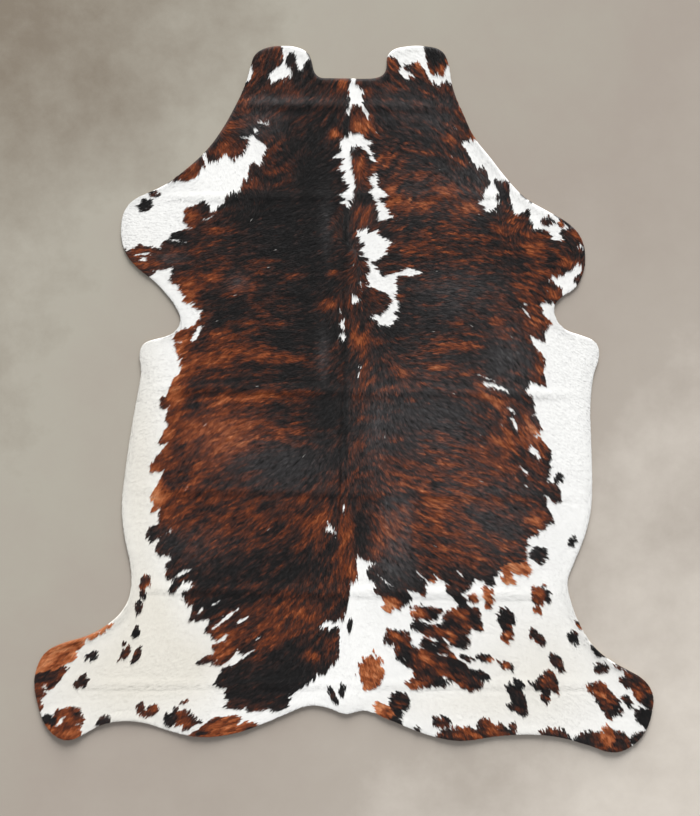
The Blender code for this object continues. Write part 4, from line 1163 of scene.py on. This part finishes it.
hairLook = {
    "roughness": 0.7,
    "specular": 0.12,  # low, because combed hair seen along its lie has no hard glint
    "strand": 0.6,  # width of a drawn strand, mm: real hair is 0.08 mm, too fine to show
    "strandLength": 10.0,  # mm
    "strandTones": (0.94, 1.04),  # share of the lock's colour in its darkest and palest strand
}


def cowHair():
    # straight short cattle hair, combed flat: fine streaks along the hair and a low, broad gloss
    material, tree = newMaterial("combed_cattle_hair")
    tint = addNode(tree, "ShaderNodeAttribute", {"attribute_name": "coat"})
    place = addNode(tree, "ShaderNodeUVMap", {"uv_map": "strands"})
    stretch = addNode(tree, "ShaderNodeMapping", links={"Vector": place.outputs["UV"]})
    stretch.inputs["Scale"].default_value = (1 / hairLook["strand"], 1 / hairLook["strandLength"], 1)
    strands = addNode(tree, "ShaderNodeTexNoise", values={"Scale": 1.0, "Detail": 2.0},
                      links={"Vector": stretch.outputs["Vector"]})
    darkest, palest = hairLook["strandTones"]
    light = addNode(tree, "ShaderNodeMapRange",
                    values={"From Min": 0.3, "From Max": 0.7, "To Min": darkest, "To Max": palest},
                    links={"Value": strands.outputs["Fac"]})
    streaked = addNode(tree, "ShaderNodeVectorMath", {"operation": "SCALE"},
                       links={"Vector": tint.outputs["Color"], "Scale": light.outputs["Result"]})
    shader = addNode(tree, "ShaderNodeBsdfPrincipled",
                     values={"Roughness": hairLook["roughness"], "IOR": 1.55,
                             "Specular IOR Level": hairLook["specular"]},
                     links={"Base Color": streaked.outputs["Vector"]})
    addNode(tree, "ShaderNodeOutputMaterial", links={"Surface": shader.outputs[0]})
    return material


hair = {
    "count": 209000,  # locks on the whole hide
    "shake": 0.42,  # by which a root leaves its place in the net, in steps of the net
    "rimGap": 0.6,  # between the rim and the nearest root, mm
    "length": 17.0,  # of a lock, mm
    "width": 3.1,  # mm
    "widest": 0.35,  # share of its length at which it is that wide
    "uneven": 0.28,  # share by which lengths and widths differ
    "turn": 11.0,  # by which a lock may leave the lie, degrees
    "turnParts": (0.6, 0.5),  # share of that for a single lock and for all locks of a streak
    "cutLength": 0.15,  # least share of its length and width that a lock keeps at the rim
    "cutWidth": 0.6,
    "overhang": (0.0, 2.2),  # least and most of a tip past the rim, mm
    "rootLift": 0.1,  # of a root above the leather, mm
    "lift": (1.4, 3.0),  # least and most of a dark tip above the leather, mm
    "liftWhite": (0.4, 0.65),  # the same of a white tip
    "belly": (0.5, 0.2),  # lift of the wide corners of a dark and of a white lock, mm
    "ridge": 0.3,  # least height of its ridge above them, mm
    "shows": 0.75,  # share of a lock's length where the part begins that others don't cover
    "follow": (0.5, 0.16),  # how far the sheen of dark and of white hair follows the folds
    "relief": (0.24, 0.03),  # how far the sides of a dark and of a white lock turn from its middle
    "stray": 0.25,  # share of that by which a lock as a whole leans
    "tones": (0.08, 0.008),  # share by which one dark lock and one white lock differs from the next
    "rootShades": (0.80, 0.98),  # painted shade at the root: its colour as a share of the lock's own, dark and white
    "tipLights": (1.08, 1.0),  # and painted light at the tip
    "creaseShadeWhite": 0.08,  # share of the painted crease shade that shows in white hair
    "flecks": 0.0002,  # share of dark locks with a pale tip
    "pieces": ("coat_neck", "coat_shoulders", "coat_back", "coat_loin", "coat_rump"),
}


def lockRoots(chance):
    # one root in each cell of an even net, shaken, in m
    low, high = fineRim.min(axis=0), fineRim.max(axis=0)
    step = math.sqrt(areaOf(fineRim) / hair["count"] / (math.sqrt(3) / 2))
    roots = evenNet(low, high, step)
    roots += chance.uniform(-hair["shake"], hair["shake"], roots.shape) * step
    return roots[pastRim(roots) < -hair["rimGap"] * mm]


def makeCoat():
    chance = np.random.default_rng(seeds["locks"])
    roots = lockRoots(chance)
    count = len(roots)
    widest = hair["widest"]

    # directions and sizes of the locks, cut back where they would reach too far past the rim
    flow = lieAt(roots / cm)
    single, shared = hair["turnParts"]
    swing = single * chance.standard_normal(count) + shared * streak("stripes", roots / cm)
    swing = np.radians(hair["turn"]) * swing
    run = np.stack([flow[:, 0] * np.cos(swing) - flow[:, 1] * np.sin(swing),
                    flow[:, 0] * np.sin(swing) + flow[:, 1] * np.cos(swing)], axis=1)
    side = np.stack([-run[:, 1], run[:, 0]], axis=1)
    length = hair["length"] * mm * (1 + hair["uneven"] * chance.uniform(-1, 1, count))
    width = hair["width"] * mm * (1 + hair["uneven"] * chance.uniform(-1, 1, count))
    inner = -pastRim(roots)
    outer = pastRim(roots + run * length[:, None])
    allowed = chance.uniform(*hair["overhang"], count) * mm
    share = (inner + allowed) / np.maximum(inner + outer, 1e-6)
    length = np.where(outer > allowed, length * np.clip(share, hair["cutLength"], 1), length)
    width = np.where(outer > allowed, width * np.clip(share, hair["cutWidth"], 1), width)
    middle = roots + run * (widest * length)[:, None]
    half = side * (width / 2)[:, None]
    spots = [roots, middle + half, middle - half, roots + run * length[:, None]]
    shown = roots + run * (hair["shows"] * length)[:, None]
    colour, white = coatColour(shown / cm, seeds["hairs"])

    def byKind(pair):
        # the first value for dark locks and the second for white ones
        return np.where(white, pair[1], pair[0])

    # heights: root, two wide corners and tip
    chosen = chance.uniform(size=count)
    tipLift = np.where(white, np.interp(chosen, (0, 1), hair["liftWhite"]),
                       np.interp(chosen, (0, 1), hair["lift"])) * mm
    belly = byKind(hair["belly"]) * mm
    lifts = [hair["rootLift"] * mm, belly, belly, tipLift]
    leatherTop = hide["leather"] * mm
    heights = [hideHeight(spot / cm) + leatherTop + lift for spot, lift in zip(spots, lifts)]
    # the ridge of a lock that crosses a fold stays above its wide corners
    ridge = mix(heights[0], heights[3], widest)
    raised = np.maximum(heights[1], heights[2]) + hair["ridge"] * mm - ridge
    heights[0] += np.maximum(raised, 0)
    heights[3] += np.maximum(raised, 0)
    points = np.stack([np.column_stack([s, h]) for s, h in zip(spots, heights)], axis=1)

    # sheen and colour of each corner
    relief = byKind(hair["relief"])[:, None]
    follow = byKind(hair["follow"])[:, None]
    fleck = ~white & (chance.uniform(size=count) < hair["flecks"])
    stray = hair["stray"] * relief * chance.standard_normal((count, 2))
    # a lock's root looks back, its wide corners to the sides and its tip ahead
    back = (-0.5, 0.0, 0.0, 0.25)
    beside = (0.0, 1.0, -1.0, 0.0)
    tone = 1 + byKind(hair["tones"]) * chance.standard_normal(count)
    # painted shade towards each lock's root and painted light at the dark tips
    rootShade = byKind(hair["rootShades"])
    cornerShading = (rootShade, (rootShade + 1) / 2, (rootShade + 1) / 2, byKind(hair["tipLights"]))
    creaseShadeShare = byKind((1.0, hair["creaseShadeWhite"]))
    normals = np.empty((count, 4, 3))
    colours = np.empty((count, 4, 3))
    for corner, spot in enumerate(spots):
        lean = stray + follow * leanOfHide(spot / cm)
        lean += relief * (back[corner] * run + beside[corner] * side)
        normals[:, corner] = np.column_stack([lean, np.ones(count)])
        # painted shade along the creases of the folds
        creaseShade = readMap(creaseShadeMap, lie["step"], spot / cm) * creaseShadeShare
        cornerShade = tone * cornerShading[corner] * (1 - creaseShade)
        colours[:, corner] = np.clip(colour * cornerShade[:, None], 0, 1)
    colours[fleck, 3] = linear(coat["fleck"])
    normals /= np.linalg.norm(normals, axis=2)[:, :, None]
    strands = strandPlaces(chance, length / mm, width / mm)

    order = np.argsort(-roots[:, 1], kind="stable")
    material = cowHair()
    coats = []
    for name, picks in zip(hair["pieces"], np.array_split(order, len(hair["pieces"]))):
        bakePlaces = bakePlacesOf(roots[picks], points[picks])
        coats.append(makeLocks(name, points[picks], normals[picks], colours[picks], strands[picks],
                               bakePlaces, material))
        print(name, len(picks), "locks")
    return coats


def strandPlaces(chance, length, width):
    # u across and v along each lock, in mm, with a start of its own
    mapSide = 400
    start = chance.uniform(0, mapSide, (len(length), 2))
    half = width / 2
    zero = np.zeros(len(length))
    corners = ((zero, zero), (half, hair["widest"] * length), (-half, hair["widest"] * length),
               (zero, length))
    return np.stack([start + np.stack(corner, axis=1) for corner in corners], axis=1)


def bakePlacesOf(roots, points):
    # each lock reads a small patch of the baked map at its own root
    patch, margin = 0.12, 0.02
    low = roots.min(axis=0)
    size = roots.max(axis=0) - low
    near = roots[:, None, :] + patch * (points[:, :, :2] - roots[:, None, :])
    return (near - low) / size * (1 - 2 * margin) + margin


def makeLocks(name, points, normals, colours, strands, bakePlaces, material):
    # four triangles a lock: its ridge runs from root to tip and lies on the two wide corners
    lockFaces = np.array([(0, 2, 3), (0, 3, 1), (0, 1, 2), (1, 3, 2)])
    faces = (lockFaces[None] + 4 * np.arange(len(points))[:, None, None]).reshape(-1, 3)
    piece = newPiece(name, points.reshape(-1, 3), faces)
    mesh = piece.data
    mesh.polygons.foreach_set("use_smooth", np.ones(len(mesh.polygons), bool))
    setColour(mesh, "coat", colours.reshape(-1, 3))
    for layer, uv in (("OFBake", bakePlaces), ("strands", strands)):
        values = uv.reshape(-1, 2)[faces.ravel()]
        mesh.uv_layers.new(name=layer).data.foreach_set("uv", values.ravel())
    mesh.materials.append(material)
    mesh.normals_split_custom_set_from_vertices(normals.reshape(-1, 3))
    return piece


studio = {
    "sky": 0.56,  # strength of the even light of the room
    "skyColour": "#FCFDFF",
    "key": 8.2,  # strength of the one soft sun
    "keyColour": "#FFFEFC",
    "keyHeight": 18.0,  # degrees above the floor
    "keySide": -6.0,  # degrees to the left of the neck
    "keyWidth": 34.0,  # soft edge of the shadows, degrees
    # tones of the screed from the upper left to the lower right
    "floorTones": ((0.16, "#7A7165"), (0.30, "#9D988D"), (0.46, "#988F86"), (0.60, "#A0988F"),
                   (0.76, "#C0B9B0")),
    "slant": (0.15, -0.12, 0.0),  # how they change to the right and to the neck, for each m: painted light, paler towards the lower right
    "clouds": (0.26, 0.64),  # tones between which the clouds of the screed lie
    "cloudScale": 1.6,  # clouds for each m
    "floorSize": 60.0,  # m
    "floorDrop": 0.3,  # of the floor under the hide, mm
}


def screedFloor():
    # trowelled cement screed, sealed matt: pale warm grey with slow clouds, and painted light that makes it
    # paler towards the lower right
    material, tree = newMaterial("trowelled_cement_screed")
    place = addNode(tree, "ShaderNodeTexCoord")
    cloud = addNode(tree, "ShaderNodeTexNoise",
                    values={"Scale": studio["cloudScale"], "Detail": 9.0, "Roughness": 0.66},
                    links={"Vector": place.outputs["Object"]})
    slant = addNode(tree, "ShaderNodeVectorMath", {"operation": "DOT_PRODUCT"},
                    links={0: place.outputs["Object"]})
    slant.inputs[1].default_value = studio["slant"]
    low, high = studio["clouds"]
    tone = addNode(tree, "ShaderNodeMath", {"operation": "MULTIPLY_ADD"}, values={1: high - low},
                   links={0: cloud.outputs["Fac"], 2: slant.outputs["Value"]})
    raised = addNode(tree, "ShaderNodeMath", {"operation": "ADD"}, values={1: low},
                     links={0: tone.outputs["Value"]})
    ramp = addNode(tree, "ShaderNodeValToRGB", links={"Fac": raised.outputs["Value"]})
    setRamp(ramp, studio["floorTones"])
    shader = addNode(tree, "ShaderNodeBsdfPrincipled",
                     values={"Roughness": 0.9, "IOR": 1.45, "Specular IOR Level": 0.1},
                     links={"Base Color": ramp.outputs["Color"]})
    addNode(tree, "ShaderNodeOutputMaterial", links={"Surface": shader.outputs[0]})
    return material


def makeStudio():
    half = studio["floorSize"] / 2
    corners = ((-half, -half), (half, -half), (half, half), (-half, half))
    points = [(x, y, -studio["floorDrop"] * mm) for x, y in corners]
    floor = newPiece("floor", points, [(0, 1, 2, 3)])
    floor.data.materials.append(screedFloor())
    world = bpy.data.worlds.new("soft_room")
    world.use_nodes = True
    background = world.node_tree.nodes["Background"]
    background.inputs["Color"].default_value = linear(studio["skyColour"]) + [1]
    background.inputs["Strength"].default_value = studio["sky"]
    bpy.context.scene.world = world
    key = bpy.data.lights.new("key", "SUN")
    key.energy = studio["key"]
    key.angle = math.radians(studio["keyWidth"])
    key.color = linear(studio["keyColour"])
    keyLight = bpy.data.objects.new("key", key)
    height = math.radians(studio["keyHeight"])
    side = math.radians(studio["keySide"])
    away = Vector((-math.sin(side) * math.cos(height), math.cos(side) * math.cos(height),
                   math.sin(height)))
    keyLight.rotation_euler = away.to_track_quat("Z", "Y").to_euler()
    bpy.context.scene.collection.objects.link(keyLight)
    bpy.context.scene.view_settings.view_transform = "Standard"
    return floor


view = {
    "place": (0.018, -0.027, 5.0),  # of the camera, m
    "frameHeight": 2.448,  # of the floor in view, m
    "sensor": 36.0,  # mm
    "farthest": 100,  # that it sees, m
}


def makeCamera():
    # straight above the hide; the taller side of the picture takes the whole sensor
    camera = bpy.data.cameras.new("camera")
    camera.sensor_width = view["sensor"]
    camera.lens = view["sensor"] * view["place"][2] / view["frameHeight"]
    camera.clip_end = view["farthest"]
    cameraObject = bpy.data.objects.new("camera", camera)
    cameraObject.location = view["place"]
    bpy.context.scene.collection.objects.link(cameraObject)
    bpy.context.scene.camera = cameraObject


makeCamera()
floor = makeStudio()
print("camera, floor and light are placed")
leather = makeLeather()
print("leather:", len(leather.data.polygons), "faces")
coats = makeCoat()

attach(leather, "root")
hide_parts("hide")
for piece in coats:
    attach(piece, "root")
    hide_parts("hide")
